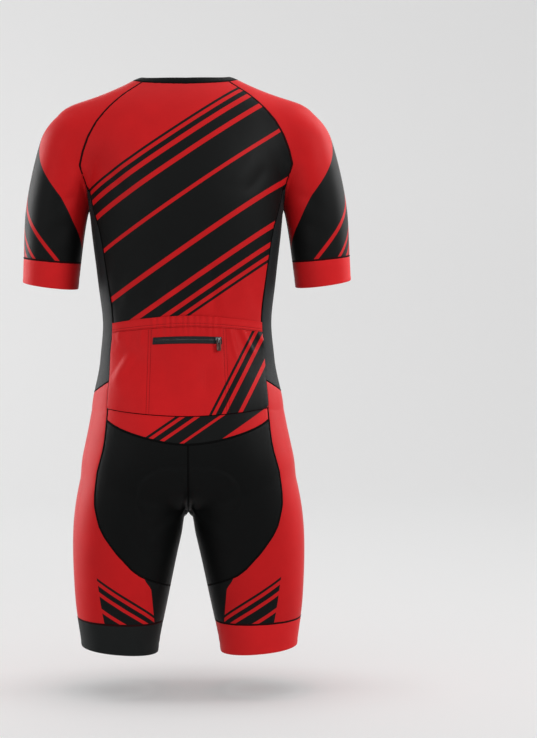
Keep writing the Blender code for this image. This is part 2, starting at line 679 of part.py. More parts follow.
# Rear pocket laid on the back panel, its elastic edge and its zip
top_row, foot_row = KEY_ROWS[1], KEY_ROWS[3]
out = outward(back)
row_tall = abs(back[top_row + 1, 0, 2] - back[top_row, 0, 2])
band_rows = POCKET_BAND_TALL / row_tall
columns = np.concatenate([[0.05], np.arange(1, 2 * half), [2 * half - 0.05]])
rows = np.concatenate([[top_row + band_rows + 0.03], np.arange(top_row + 1, foot_row), [foot_row]])
u, v = np.meshgrid(columns, rows)
lie, nor = sample(back, u, v), sample(out, u, v)
pocket_in, pocket_out = lie + nor * LAY, lie + nor * (LAY + CLOTH)
shell("pocket_panel", pocket_out, pocket_in, RED)

unit = abs(round_angle(back[top_row:top_row + 1, 0], trunk_centre)[0]) / half
reach = math.degrees(math.atan2(GATHERS * GATHER_PITCH / 2, back[top_row, half, 1])) / unit
middle = half + np.linspace(-reach, reach, 4 * GATHERS + 1)
columns = np.concatenate([[0.05], np.arange(1, half - reach), middle,
                          np.arange(math.ceil(half + reach), 2 * half), [2 * half - 0.05]])
columns = np.unique(np.round(columns, 4))
u, v = np.meshgrid(columns, top_row + np.array([0, 0.5, 1.0]) * band_rows)
lie, nor = sample(back, u, v), sample(out, u, v)
phase = (u - half) / reach * GATHERS / 2
inside = np.clip(1.15 - np.abs(u - half) / reach, 0, 0.15) / 0.15
fall = np.array([[1.0], [0.75], [0.35]])
rise = GATHER_RISE * inside * fall * (0.5 - 0.5 * np.cos(2 * math.pi * phase))
lift = (LAY + rise)[..., None]
shell("pocket_band", lie + nor * (lift + BAND), lie + nor * lift, DEEP_RED)

zip_row = np.interp(-POCKET_ZIP_Z, -back[:, half, 2], np.arange(len(back)))
zip_reach = math.degrees(math.atan2(POCKET_ZIP_LONG / 2, back[top_row + 1, half, 1])) / unit
columns = np.unique(np.concatenate([[half - zip_reach], np.arange(math.ceil(half - zip_reach),
                                    half + zip_reach), [half + zip_reach]]))
tall = POCKET_ZIP_TALL / 2 / row_tall
u, v = np.meshgrid(columns, [zip_row - tall, zip_row, zip_row + tall])
lie, nor = sample(back, u, v), sample(out, u, v)
on = LAY + CLOTH + LAY
shell("pocket_zip", lie + nor * (on + ZIP_THICK), lie + nor * on, BLACK, 0.4)

# Sliders and pulls
spot_u = half + zip_reach * 0.9
spot = sample(back, spot_u, zip_row) + sample(out, spot_u, zip_row) * (on + ZIP_THICK + LAY)
along = sample(back, spot_u - 0.3, zip_row) - sample(back, spot_u + 0.3, zip_row)
pocket_frame = frame_at(spot, sample(out, spot_u, zip_row), np.array([0, 0, -1.0]))
slider("pocket_slider", pocket_frame, STEEL)
pull("pocket_pull", pocket_frame, 7.6, 18.0, STEEL)
top = strip[1, 1]
front_frame = frame_at(top + outward(strip[1:2, 1:2])[0, 0] * LAY, outward(strip[1:2, 1:2])[0, 0],
                       np.array([0, 0, -1.0]))
slider("front_slider", front_frame, STEEL)
pull("front_pull", front_frame, 7.6, 22.0, STEEL)

# Seat pad inside the seat, one piece across the centre seam
rows = np.arange(2.0, CROTCH_ROWS)
columns = np.arange(4, HALF_COLUMNS + 1)
u, v = np.meshgrid(columns, rows)
lie, nor = sample(seat, u, v), sample(outward(seat), u, v)
lie[:, -1, 0], nor[:, -1, 0] = 0.0, 0.0
nor /= np.linalg.norm(nor, axis=-1, keepdims=True)
lie = np.concatenate([lie, mirror(lie[:, -2::-1])], 1)
nor = np.concatenate([nor, mirror(nor[:, -2::-1])], 1)
across = np.sin(math.pi * np.linspace(0, 1, lie.shape[1])) ** 0.5
down = np.sin(math.pi * np.linspace(0.06, 0.94, lie.shape[0])) ** 0.5
thick = (2.0 + (PAD_THICK - 2.0) * across * down[:, None])[..., None]
under = CLOTH + 2 * LAY
shell("seat_pad", lie - nor * under, lie - nor * (under + thick), CHARCOAL, turn_at=len(columns) - 1)
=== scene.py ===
import math
import bpy
import numpy as np
from mathutils import Matrix, Vector


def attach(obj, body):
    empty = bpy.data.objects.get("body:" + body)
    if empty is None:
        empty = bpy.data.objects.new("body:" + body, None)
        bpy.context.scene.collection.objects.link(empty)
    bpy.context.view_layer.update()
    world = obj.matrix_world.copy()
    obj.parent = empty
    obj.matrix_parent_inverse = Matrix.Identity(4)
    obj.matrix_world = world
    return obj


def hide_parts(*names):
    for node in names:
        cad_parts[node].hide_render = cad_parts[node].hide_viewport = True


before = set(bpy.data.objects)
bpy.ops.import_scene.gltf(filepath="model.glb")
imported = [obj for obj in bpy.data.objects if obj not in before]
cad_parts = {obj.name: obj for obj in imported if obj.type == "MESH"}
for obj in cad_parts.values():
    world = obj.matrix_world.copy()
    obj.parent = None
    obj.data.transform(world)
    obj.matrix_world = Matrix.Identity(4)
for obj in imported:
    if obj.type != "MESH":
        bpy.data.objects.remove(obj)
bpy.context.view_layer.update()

mm = 0.001
print("frame loaded")

# the filled-out form in millimetres, its back towards +Y
form = {
    "trunk": [  # height, half width, depth to the back, depth to the front, squareness
        (20, 40, 44, 40, 2.0), (6, 68, 50, 47, 2.0), (0, 82, 53, 50, 2.0),
        (-10, 103, 57, 53, 2.0), (-25, 136, 66, 58, 2.0), (-42, 162, 76, 64, 2.05),
        (-65, 178, 87, 72, 2.1), (-100, 178, 100, 86, 2.2), (-150, 168, 112, 106, 2.3),
        (-200, 160, 117, 117, 2.3), (-250, 155, 112, 118, 2.3), (-300, 149, 101, 113, 2.3),
        (-350, 143, 90, 108, 2.3), (-400, 138, 83, 105, 2.3), (-450, 142, 88, 106, 2.3),
        (-500, 146, 101, 107, 2.3), (-550, 151, 114, 106, 2.3), (-600, 152, 121, 101, 2.3),
        (-640, 146, 117, 92, 2.2), (-680, 88, 84, 70, 2.1), (-700, 36, 40, 34, 2.0)],
    "trunkEnd": -690,
    "arm": [  # height, centre across, centre deep, half width, half depth
        (-60, 172, 4, 52, 50), (-100, 185, 3, 53, 55), (-160, 200, 0, 54, 60),
        (-226, 214, -6, 51, 58), (-270, 219, -11, 48.5, 55), (-345, 226, -24, 45.5, 51)],
    "armTop": -100, "armCap": 58, "armEnd": -360, "armRound": 50,
    "armMeld": (3, 37), "armMeldHeight": (-215, 105),
    "leg": [  # height, centre across, depth to the back, depth to the front, half width
        (-540, 80, 92, 84, 60), (-600, 89, 104, 92, 73), (-650, 94, 108, 96, 82),
        (-712, 97, 102, 97, 90), (-764, 103, 92, 95, 86.5), (-817, 108, 84, 90, 80),
        (-869, 111.5, 76, 84, 72.5), (-922, 113, 69, 77, 63.5), (-960, 114, 65, 73, 60)],
    "legTop": -540, "legRound": 60, "legPower": 2.15, "legMeld": 12, "hipMeld": 45}

# where the panels are cut
cut = {
    "neckSeam": [(0, -15), (37, -13), (59, -9), (71, -5), (86, -1.5), (100, -4), (122, -24),
                 (140, -47), (160, -67), (180, -75)],
    "raglanBack": 59.4, "raglanFront": 122.0, "fanX": 88.0, "fanZ": -235.0,
    "raglan": [(95, 227), (82, 193), (73, 173), (62, 149), (51, 128), (39, 108), (32, 95), (23, 81)],
    "raglanRows": [95, 87, 79, 71, 63, 55, 47],
    "underarmRows": 4, "underarmDeep": 41.0, "armholeLean": 0.4,
    "cuffSeam": (-298.0, 0.099, -0.10), "cuffHem": (-341.0, 0.136, -0.13),
    "sideSeam": [(-187, 76), (-215, 73), (-243, 68.5), (-267, 67), (-302, 67.3), (-331, 67.5),
                 (-360, 68), (-392, 68.3), (-427, 68.5), (-458, 67.5), (-496, 61.5), (-534, 58),
                 (-560, 56.3)],
    # down to the pocket's top, the hip, the pocket's foot and the tail, with the rows to each
    "sideSplit": ((-400.0, 9), (-492.0, 4), (-535.5, 2), (-555.0, 2)),
    "hip": -492.0, "tail": -555.0, "hipDip": -18.0, "frontWaist": -575.0,
    "backDrop": (-6, -3, 0, 10.5, -4, -12.5, -37.5),
    "seatSeam": [(-555, 28.8), (-591, 26), (-618, 27.5), (-640, 30.5), (-667, 31.6), (-687, 31.8),
                 (-705, 29.3), (-731, 23.5), (-750, 15), (-770, 4.5), (-786, -6), (-802, -18.5),
                 (-814, -38), (-823, -63), (-829, -90)],
    "seatRows": 12, "crotchRows": 7, "cuffRows": 2, "legBandRows": 2,
    "sleeveColumns": 14, "legColumns": 16, "sideColumns": 8, "halfColumns": 10,
    "foldAcross": (145, 190), "foldHeights": (-150.0, -260.0), "sleeveTurn": 39, "sleeveReach": 125,
    "armRows": 4, "cuffPivot": 50, "crotchPivot": -640.0, "gripperSide": -877.5,
    "gripper": (-880.5, 3, -2), "hem": (-929, 6, -2),  # height, more at the outside, more at the back
    "neckBandTall": 9.0, "zipWide": 10.0, "seam": 0.3}


def spline(rows, column):  # natural cubic through one column, ends held
    data = np.array(sorted(rows), float)
    k, v = data[:, 0], data[:, column]
    n, h = len(k), np.diff(data[:, 0])
    a, r = np.eye(n), np.zeros(n)
    for i in range(1, n - 1):
        a[i, i - 1:i + 2] = h[i - 1], 2 * (h[i - 1] + h[i]), h[i]
        r[i] = 6 * ((v[i + 1] - v[i]) / h[i] - (v[i] - v[i - 1]) / h[i - 1])
    m = np.linalg.solve(a, r)

    def value(x):
        x = np.clip(x, k[0], k[-1])
        i = np.clip(np.searchsorted(k, x) - 1, 0, n - 2)
        p, q = (k[i + 1] - x) / h[i], (x - k[i]) / h[i]
        bend = ((p ** 3 - p) * m[i] + (q ** 3 - q) * m[i + 1]) * h[i] ** 2 / 6
        return p * v[i] + q * v[i + 1] + bend
    return value


trunkTable, armTable, legTable = [[spline(form[key], c) for c in range(1, 5)]
                                  for key in ("trunk", "arm", "leg")]
neckHeight, raglanReach, sideAngle, seatAngle = [
    spline(cut[key], 1) for key in ("neckSeam", "raglan", "sideSeam", "seatSeam")]


def oval(dx, dy, wide, back, front, power):
    deep = np.where(dy > 0, back, front)
    g = (np.abs(dx / wide) ** power + np.abs(dy / deep) ** power) ** (1 / power)
    r = np.hypot(dx, dy)
    return np.where(g > 1e-9, r * (1 - 1 / np.maximum(g, 1e-9)), -np.minimum(wide, deep))


def meld(a, b, k):
    h = np.maximum(k - np.abs(a - b), 0) / k
    return np.minimum(a, b) - h * h * k / 4


def capped(limb, over, size):  # rounded off above its top
    return np.where(over > 0, np.hypot(np.maximum(limb + size, 0), over) - size, limb)


def figure(p, arms=True):  # negative inside the suit, zero on its outside
    x, y, z = p[..., 0], p[..., 1], p[..., 2]
    wide, back, front, power = [f(z) for f in trunkTable]
    d = np.maximum(oval(x, y, wide, back, front, power), form["trunkEnd"] - z)
    if arms:
        cx, cy, rx, ry = [f(z) for f in armTable]
        arm = oval(np.abs(x) - cx, y - cy, rx, ry, ry, 2.0)
        over = np.maximum(z - form["armTop"], 0) * form["armRound"] / form["armCap"]
        least, more = form["armMeld"]
        t = np.clip((z - form["armMeldHeight"][0]) / form["armMeldHeight"][1], 0, 1)
        melded = meld(d, capped(arm, over, form["armRound"]), least + more * t * t * (3 - 2 * t))
        d = np.where(z > form["armEnd"], melded, d)
    cx, back, front, rx = [f(z) for f in legTable]
    over = np.maximum(z - form["legTop"], 0)
    legs = [capped(oval(side * x - cx, y, rx, back, front, form["legPower"]), over, form["legRound"])
            for side in (1, -1)]
    return meld(d, meld(*legs, form["legMeld"]), form["hipMeld"])


def torso(p):
    return figure(p, False)


def slope(p, shape=figure, e=3.0):
    g = np.zeros(p.shape)
    for k in range(3):
        step = np.zeros(3)
        step[k] = e
        g[..., k] = (shape(p + step) - shape(p - step)) / (2 * e)
    return g


def unit(v):
    return v / (np.linalg.norm(v, axis=-1, keepdims=True) + 1e-12)


def outward(p):
    return unit(slope(p))


def cast(origin, direction, shape=figure, reach=420, halvings=26):  # where a line first leaves the form
    o, d = np.broadcast_arrays(np.asarray(origin, float), np.asarray(direction, float))
    d = unit(d)
    r = np.arange(0, reach, 1.0)
    out = shape(o[..., None, :] + d[..., None, :] * r[:, None]) > 0
    i = np.argmax(out, axis=-1)
    lo, hi = r[np.maximum(i - 1, 0)], r[i]
    for _ in range(halvings):
        mid = (lo + hi) / 2
        f = shape(o + d * mid[..., None])
        lo, hi = np.where(f > 0, lo, mid), np.where(f > 0, mid, hi)
    return o + d * lo[..., None]


def trunkCentre(z):
    return np.zeros_like(z)


def legCentre(z):
    return legTable[0](z)


def roundPoints(angle, z, centre, shape=figure):
    angle, z = np.broadcast_arrays(np.asarray(angle, float), np.asarray(z, float))
    a = np.radians(angle)
    o = np.stack([centre(z), np.zeros_like(z), z], -1)
    return cast(o, np.stack([np.sin(a), np.cos(a), np.zeros_like(a)], -1), shape)


def roundAngle(p, centre):
    a = np.degrees(np.arctan2(p[..., 0] - centre(p[..., 2]), p[..., 1]))
    return np.where(a < -90.5, a + 360, a)


def resample(p, n):
    s = np.concatenate([[0], np.cumsum(np.linalg.norm(np.diff(p, axis=0), axis=1))])
    t = np.linspace(0, s[-1], n + 1)
    return np.stack([np.interp(t, s, p[:, k]) for k in range(3)], -1)


def coons(top, foot, left, right):
    u = np.linspace(0, 1, len(top))[None, :, None]
    v = np.linspace(0, 1, len(left))[:, None, None]
    edge = (1 - v) * top[None] + v * foot[None] + (1 - u) * left[:, None] + u * right[:, None]
    corner = (1 - v) * ((1 - u) * top[0] + u * top[-1]) + v * ((1 - u) * foot[0] + u * foot[-1])
    return edge - corner


def patch(top, foot, left, right, centre, shape=figure, front=False):  # a front is worked out turned back
    edges = [q * np.array([1, -1, 1]) if front else q for q in (top, foot, left, right)]
    g = coons(*[np.stack([roundAngle(q, centre), q[:, 2]], -1) for q in edges])
    p = roundPoints(180 - g[..., 0] if front else g[..., 0], g[..., 1], centre, shape)
    p[0], p[-1], p[:, 0], p[:, -1] = top, foot, left, right
    return p


def mirror(p):
    return p * np.array([-1, 1, 1])


def neckPoints(angle):
    return roundPoints(angle, neckHeight(np.minimum(np.abs(angle), 180)), trunkCentre)


def armholeFold(y):  # the highest point under the arm, at that depth
    x = np.linspace(*cut["foldAcross"], 91)
    hi, lo = cut["foldHeights"]
    for _ in range(30):
        mid = (hi + lo) / 2
        f = figure(np.stack([x, np.full_like(x, y), np.full_like(x, mid)], -1))
        hi, lo = (hi, mid) if f.max() > 0 else (mid, lo)
    return np.array([x[np.argmax(f)], y, mid])


def raglanLine(side):
    angles = np.array(cut["raglanRows"])
    r, a = raglanReach(angles), np.radians(angles)
    o = np.stack([cut["fanX"] + r * np.cos(a), np.zeros_like(a), cut["fanZ"] + r * np.sin(a)], -1)
    p = cast(o, (0, side, 0))
    p[0] = neckPoints(np.array([cut["raglanBack"] if side > 0 else cut["raglanFront"]]))[0]
    under = np.array([armholeFold(y) for y in np.linspace(side * cut["underarmDeep"], 0, 24)])
    return np.vstack([p, resample(under, cut["underarmRows"])])


armpit = armholeFold(0.0)
armpitFan = math.degrees(math.atan2(armpit[2] - cut["fanZ"], armpit[0] - cut["fanX"]))
raglanCount = len(cut["raglanRows"])
keyRows = np.cumsum([raglanCount] + [n for z, n in cut["sideSplit"]])
hipRow = keyRows[2] - raglanCount
half = cut["halfColumns"]
raglan = {side: raglanLine(side) for side in (1, -1)}


def seamCurve(side, angle, z, centre, shape=figure):
    a = angle(z)
    return roundPoints(a if side > 0 else 180 - a, z, centre, shape)


def sideSeamLine(side):
    top = raglan[side][raglanCount]
    rows, start = [top[None]], top[2] - 10.0
    for end, n in cut["sideSplit"]:
        line = seamCurve(side, sideAngle, np.linspace(start, end, 160), trunkCentre)
        if len(rows) == 1:
            line = np.vstack([top, line])
        rows.append(resample(line, n)[1:])
        start = end
    return np.vstack(rows)


seam = {side: sideSeamLine(side) for side in (1, -1)}


def seatSeamLine(side):
    heights = np.linspace(cut["tail"], cut["seatSeam"][-1][0], 240)
    line = seamCurve(side, seatAngle, heights, legCentre, torso)
    line[0] = seam[side][-1]
    return resample(line, cut["seatRows"] + half)


seatLine = {side: seatSeamLine(side) for side in (1, -1)}
inseamTop = seatLine[1][-1]


def centreSeam(side, start, n):
    top = cast(np.array([0, 0, start]), (0, side, 0), torso)
    o = np.array([0, 0, cut["crotchPivot"]])
    first = math.atan2(o[2] - start, abs(top[1]))
    a = first + (math.pi / 2 - first) * np.linspace(0, 1, 120)
    p = cast(o, np.stack([0 * a, side * np.cos(a), -np.sin(a)], -1), torso)
    p[0] = top
    return resample(p, n)


def inseam(z):
    return roundPoints(np.full_like(z, -90.0), z, legCentre, torso)


def legHeight(key, angle):
    base, out, back = cut[key]
    a = np.radians(angle)
    return base + out * np.sin(a) + back * np.cos(a)


def backGrid():
    left = np.vstack([raglan[1][:raglanCount + 1], seam[1][1:]])
    w = np.linspace(1, -1, 2 * half + 1)
    drop = np.interp(np.arange(len(left)), [0, 1, *keyRows], cut["backDrop"])
    angle = roundAngle(left, trunkCentre)[:, None] * w
    p = roundPoints(angle, left[:, 2:] + drop[:, None] * (1 - w ** 2), trunkCentre)
    p[0] = neckPoints(cut["raglanBack"] * w)
    p[:, 0], p[:, -1] = left, mirror(left)
    return p


def frontGrid():
    left = np.vstack([raglan[-1][:raglanCount + 1], seam[-1][1:]])
    x = cut["zipWide"] / 2 + cut["seam"] / 2
    z = np.linspace(neckHeight(180.0), cut["frontWaist"], len(left))
    right = cast(np.stack([np.full_like(z, x), 0 * z, z], -1), (0, -1, 0))
    w = np.linspace(0, 1, half + 1)
    end = roundAngle(right, trunkCentre)
    top = neckPoints(cut["raglanFront"] + (end[0] - cut["raglanFront"]) * w)
    first = roundAngle(left[-1:], trunkCentre)[0]
    fall = cut["tail"] + (cut["frontWaist"] - cut["tail"]) * (1 - (1 - w) ** 2)
    foot = roundPoints(first + (end[-1] - first) * w, fall, trunkCentre, torso)
    top[-1], foot[-1], foot[0] = right[0], right[-1], left[-1]
    return patch(top, foot, left, right, trunkCentre)


def sideGrid():
    under = [raglan[s][raglanCount:] for s in (1, -1)]
    top = np.vstack([under[0], under[1][-2::-1]])
    left, right = seam[1][:hipRow + 1], seam[-1][:hipRow + 1]
    a, b = [roundAngle(q[-1:], trunkCentre)[0] for q in (left, right)]
    w = np.linspace(-1, 1, cut["sideColumns"] + 1)
    foot = roundPoints((a + b) / 2 + (b - a) / 2 * w, cut["hip"] + cut["hipDip"] * (1 - w ** 2),
                       trunkCentre, torso)
    foot[0], foot[-1] = left[-1], right[-1]
    return patch(top, foot, left, right, trunkCentre)


def sleeveRows():
    rows = []
    for i in range(1, raglanCount + cut["underarmRows"] + 1):
        ends = raglan[1][i], raglan[-1][i]
        dx, dz = ends[0][0] - cut["fanX"], ends[0][2] - cut["fanZ"]
        r, psi = math.hypot(dx, dz), math.degrees(math.atan2(dz, dx))
        w = min(max((cut["sleeveTurn"] - psi) / (cut["sleeveTurn"] - armpitFan), 0), 1)
        d = np.array([dx / r, 0, dz / r])
        k = np.array([cut["fanX"], 0, cut["fanZ"]]) + d * (r + (cut["sleeveReach"] - r) * w)
        rows.append((k, d, np.array([0, 1.0, 0]), ends))
    start = (armpit[2], math.tan(math.radians(armpitFan)), 0.0)
    cuffSpan = (cut["cuffSeam"], cut["cuffHem"], cut["cuffRows"])
    for a, b, n in ((start, cut["cuffSeam"], cut["armRows"]), cuffSpan):
        for t in np.linspace(0, 1, n + 1)[1:]:
            z, out, back = [p + (q - p) * t for p, q in zip(a, b)]
            z += out * cut["cuffPivot"]
            cx, cy = armTable[0](z), armTable[1](z)
            rows.append((np.array([cx, cy, z]), unit(np.array([1, 0, out])),
                         unit(np.array([0, 1, back])), None))
    return rows


def sleeveGrid():
    w = np.linspace(0, 1, cut["sleeveColumns"] + 1)
    grid = [neckPoints(cut["raglanBack"] + (cut["raglanFront"] - cut["raglanBack"]) * w)]
    for k, d, e, ends in sleeveRows():
        a, b = math.pi, -math.pi
        if ends is not None and abs(ends[0][1]) > 1e-6:
            a, b = [math.atan2((q - k) @ e, (q - k) @ d) for q in ends]
        phi = (a + (b - a) * w)[:, None]
        line = cast(k, np.cos(phi) * d + np.sin(phi) * e)
        if ends is not None:
            line[0], line[-1] = ends
        grid.append(line)
    return np.array(grid)


def legGrid():
    lines = []
    for side in (1, -1):
        z = np.linspace(inseamTop[2], legHeight("gripper", -90.0), 3)
        lines.append(np.vstack([seam[side][hipRow:], seatLine[side][1:], inseam(z[1:])]))
    ang = [roundAngle(q, legCentre) for q in lines]
    ang[1] = np.where(ang[1] < 0, ang[1] + 360, ang[1])
    ang[0] = np.where(ang[0] > 260, ang[0] - 360, ang[0])
    n = len(lines[0])
    w = np.linspace(0, 1, cut["legColumns"] + 1)
    a = ang[0][:, None] + (ang[1] - ang[0])[:, None] * w
    ends = (cut["hip"] + cut["hipDip"], inseamTop[2], cut["gripperSide"])
    sideZ = np.interp(np.arange(n), (0, n - 3, n - 1), ends)
    bulge = np.sin(math.pi * w) ** 2
    z = lines[0][:, 2:] * (1 - bulge) + sideZ[:, None] * bulge
    z[-1] = legHeight("gripper", a[-1])
    p = roundPoints(a, z, legCentre, torso)
    p[:, 0], p[:, -1] = lines
    p[0, ::2] = sideGrid()[-1]
    return p


def legBandGrid():
    a = np.linspace(-90, 270, cut["legColumns"] + 1)
    top, foot = legHeight("gripper", a), legHeight("hem", a)
    rows = [top + (foot - top) * t for t in np.linspace(0, 1, cut["legBandRows"] + 1)]
    return np.array([roundPoints(a, z, legCentre, torso) for z in rows])


def seatGrid(side, top, start):
    n = len(top) - 1
    rows = cut["seatRows"] + half - n
    left, foot = seatLine[side][:rows + 1], seatLine[side][rows:].copy()
    crotch = cut["crotchRows"] - (cut["seatRows"] - rows)
    middle = centreSeam(side, start, crotch)
    z = np.linspace(middle[-1][2], inseamTop[2], 120)[6:]
    legSide = resample(np.vstack([middle[-1], inseam(z)]), rows - crotch)[1:]
    right = np.vstack([middle, legSide])
    foot[-1] = right[-1]
    return patch(top, foot, left, right, legCentre, torso, front=side < 0)


back, front, sleeve = backGrid(), frontGrid(), sleeveGrid()
sidePiece, leg, legBand = sideGrid(), legGrid(), legBandGrid()
seat = seatGrid(1, back[-1, :half + 1], float(back[-1, half, 2]))
waistMid = cast(np.array([0.0, 0, cut["frontWaist"]]), (0, -1, 0), torso)
shorts = seatGrid(-1, np.vstack([front[-1], waistMid]), cut["frontWaist"])
print("panels cut")


# finer cloth on the same form
def throughPoints(p, k):  # smooth curve through every row, k steps between rows
    ext = np.concatenate([2 * p[:1] - p[1:2], p, 2 * p[-1:] - p[-2:-1]])
    a, b, c, d = ext[:-3], ext[1:-2], ext[2:-1], ext[3:]
    out = []
    for t in np.arange(k) / k:
        out.append(0.5 * (2 * b + (c - a) * t + (2 * a - 5 * b + 4 * c - d) * t * t
                          + (3 * b - a - 3 * c + d) * t ** 3))
    out = np.stack(out, 1).reshape(-1, *p.shape[1:])
    return np.concatenate([out, p[-1:]])


def finer(p, k, kAcross):
    q = throughPoints(p, k)
    return throughPoints(q.transpose(1, 0, 2), kAcross).transpose(1, 0, 2)


def settle(p, shape):  # back onto the form, except on the sharp fold under the arm
    for _ in range(3):
        g = slope(p, shape, 1.0)
        size = (g * g).sum(-1)
        step = shape(p) / np.maximum(size, 0.2)
        step = np.where(size > 0.55, np.clip(step, -1.2, 1.2), 0)
        p = p - step[..., None] * g
    return p


def arcs(p):  # distance from each edge along the cloth
    down = np.linalg.norm(np.diff(p, axis=0), axis=-1)
    over = np.linalg.norm(np.diff(p, axis=1), axis=-1)
    v = np.vstack([np.zeros(p.shape[1]), np.cumsum(down, 0)])
    u = np.hstack([np.zeros((p.shape[0], 1)), np.cumsum(over, 1)])
    return u, v


def smoothStep(x, a, b):
    t = np.clip((x - a) / (b - a), 0, 1)
    return t * t * (3 - 2 * t)


def foldRelief(p, folds):  # soft troughs and ridges: x, z from; x, z to; width; height; bow
    total = np.zeros(p.shape[:2])
    for x0, z0, x1, z1, wide, high, bow in folds:
        a, d = np.array([x0, z0]), np.array([x1 - x0, z1 - z0])
        long = np.hypot(*d)
        q = p[..., [0, 2]] - a
        s = (q @ d) / long ** 2
        off = (q @ np.array([-d[1], d[0]])) / long - bow * np.sin(math.pi * np.clip(s, 0, 1))
        fade = smoothStep(s, -0.05, 0.35) * (1 - smoothStep(s, 0.65, 1.05))
        total += high * fade * np.exp(-(off / wide) ** 2)
    return total


everyEdge = ("top", "left", "right", "foot")


def seamDip(p, edges=everyEdge, deep=0.45, wide=2.6, pucker=0.12):  # cloth pulled down by its seams
    u, v = arcs(p)
    far = {"left": u, "right": u[:, -1:] - u, "top": v, "foot": v[-1:] - v}
    total = np.zeros(p.shape[:2])
    for edge in edges:
        run = v if edge in ("left", "right") else u  # two uneven waves, some 10 and 17 mm long
        ripple = np.sin(run * 0.62 + 1.3 * np.sin(run * 0.11)) + 0.6 * np.sin(run * 0.37 + 2)
        total -= deep * np.exp(-(far[edge] / wide) ** 2)
        total += pucker * ripple * np.exp(-((far[edge] - 4) / 5) ** 2)
    return total


def insetEdges(p, amount):
    q = p.copy()
    turn = {"top": lambda g: g, "foot": lambda g: g[::-1], "left": lambda g: g.transpose(1, 0, 2),
            "right": lambda g: g.transpose(1, 0, 2)[::-1]}
    for edge in everyEdge:
        view, target = turn[edge](p), turn[edge](q)
        along = unit(np.gradient(view[0], axis=0))
        inward = view[1] - view[0]
        inward = unit(inward - (inward * along).sum(1, keepdims=True) * along)
        target[0] += inward * amount
    return q


def gridFaces(rows, columns):  # the quads, the points round the edge and their neighbours inside
    number = np.arange(rows * columns).reshape(rows, columns)
    quads = np.stack([number[:-1, :-1], number[1:, :-1], number[1:, 1:], number[:-1, 1:]], -1).reshape(-1, 4)
    loop = np.concatenate([number[0, :-1], number[:-1, -1], number[-1, :0:-1], number[:0:-1, 0]])
    inside = np.concatenate([number[1, :-1], number[:-1, -2], number[-2, :0:-1], number[:0:-1, 1]])
    return quads, loop, inside


def clothPiece(name, outer, normal, uv, colour, slot, key, node=None, thick=0.9,
               restsOn=("back_panel",), inset=0.1):
    inner, outer = insetEdges(outer - normal * thick, inset), insetEdges(outer, inset)
    quads, loop, inside = gridFaces(*outer.shape[:2])
    flatOut, flatIn = outer.reshape(-1, 3), inner.reshape(-1, 3)
    n = len(flatOut)
    bulge = unit(flatOut[loop] - flatOut[inside]) * thick * 0.3  # the folded edge is round
    middle = (flatOut[loop] + flatIn[loop]) / 2 + bulge
    ring = 2 * n + np.arange(len(loop))
    b, rb = np.roll(loop, -1), np.roll(ring, -1)
    rim = np.vstack([np.stack([loop, b, rb, ring], -1), np.stack([ring, rb, b + n, loop + n], -1)])
    verts = np.vstack([flatOut, flatIn, middle]) * mm
    faces = np.vstack([quads, quads[:, ::-1] + n, rim])
    v = verts[faces]
    volume = (np.cross(v[:, 0], v[:, 1]) * v[:, 2] + np.cross(v[:, 0], v[:, 2]) * v[:, 3]).sum()
    if volume < 0:
        faces = faces[:, ::-1]
    flatUv = uv.reshape(-1, 2)
    piece = meshPiece(name, verts, faces, np.vstack([flatUv, flatUv, flatUv[loop]]) * mm, cloth[colour])
    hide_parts(node or key)


def meshPiece(name, verts, faces, uv, material, body="suit", sharp=50):
    mesh = bpy.data.meshes.new(name)
    mesh.from_pydata(np.asarray(verts).tolist(), [], [list(map(int, f)) for f in faces])
    mesh.validate()
    if uv is not None:
        layer = mesh.uv_layers.new(name="clothUv")
        corner = np.zeros(len(mesh.loops), int)
        mesh.loops.foreach_get("vertex_index", corner)
        layer.data.foreach_set("uv", np.asarray(uv)[corner].astype(np.float32).ravel())
    mesh.shade_smooth()
    mesh.set_sharp_from_angle(angle=math.radians(sharp))
    piece = bpy.data.objects.new(name, mesh)
    bpy.context.scene.collection.objects.link(piece)
    mesh.materials.append(material)
    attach(piece, body)
    return piece


# materials
def linear(text):  # sRGB hex to linear
    c = [int(text[i:i + 2], 16) / 255 for i in (1, 3, 5)]
    return (*[x / 12.92 if x <= 0.04045 else ((x + 0.055) / 1.055) ** 2.4 for x in c], 1)


def addNode(tree, kind, settings=None, **links):
    node = tree.nodes.new("ShaderNode" + kind)
    for key, value in (settings or {}).items():
        if isinstance(key, str) and hasattr(node, key):
            setattr(node, key, value)
        else:
            node.inputs[key].default_value = value
    for key, value in links.items():  # i0, i1 are sockets by number, others by name
        tree.links.new(value, node.inputs[int(key[1:]) if key[1:].isdigit() else key])
    return node


def startMaterial(name, rough, **sockets):
    material = bpy.data.materials.new(name)
    material.use_nodes = True
    tree = material.node_tree
    shade = tree.nodes["Principled BSDF"]
    shade.inputs["Roughness"].default_value = rough
    for key, value in sockets.items():
        shade.inputs[key.replace("_", " ")].default_value = value
    return material, tree, shade


def calc(tree, operation, *terms):  # a Math node: each term is a number or a socket
    numbers = {i: t for i, t in enumerate(terms) if isinstance(t, (int, float))}
    sockets = {f"i{i}": t for i, t in enumerate(terms) if i not in numbers}
    return addNode(tree, "Math", {"operation": operation, **numbers}, **sockets).outputs[0]


def stripeMask(tree, value, stripes, soft=0.25):  # 1 inside each stripe: centre and width in mm
    total = None
    for centre, wide in stripes:
        off = calc(tree, "ABSOLUTE", calc(tree, "SUBTRACT", value, centre))
        edge = addNode(tree, "MapRange", {"interpolation_type": "SMOOTHSTEP", 1: wide / 2 - soft,
                                          2: wide / 2 + soft, 3: 1.0, 4: 0.0}, i0=off).outputs[0]
        total = edge if total is None else calc(tree, "MAXIMUM", total, edge)
    return total


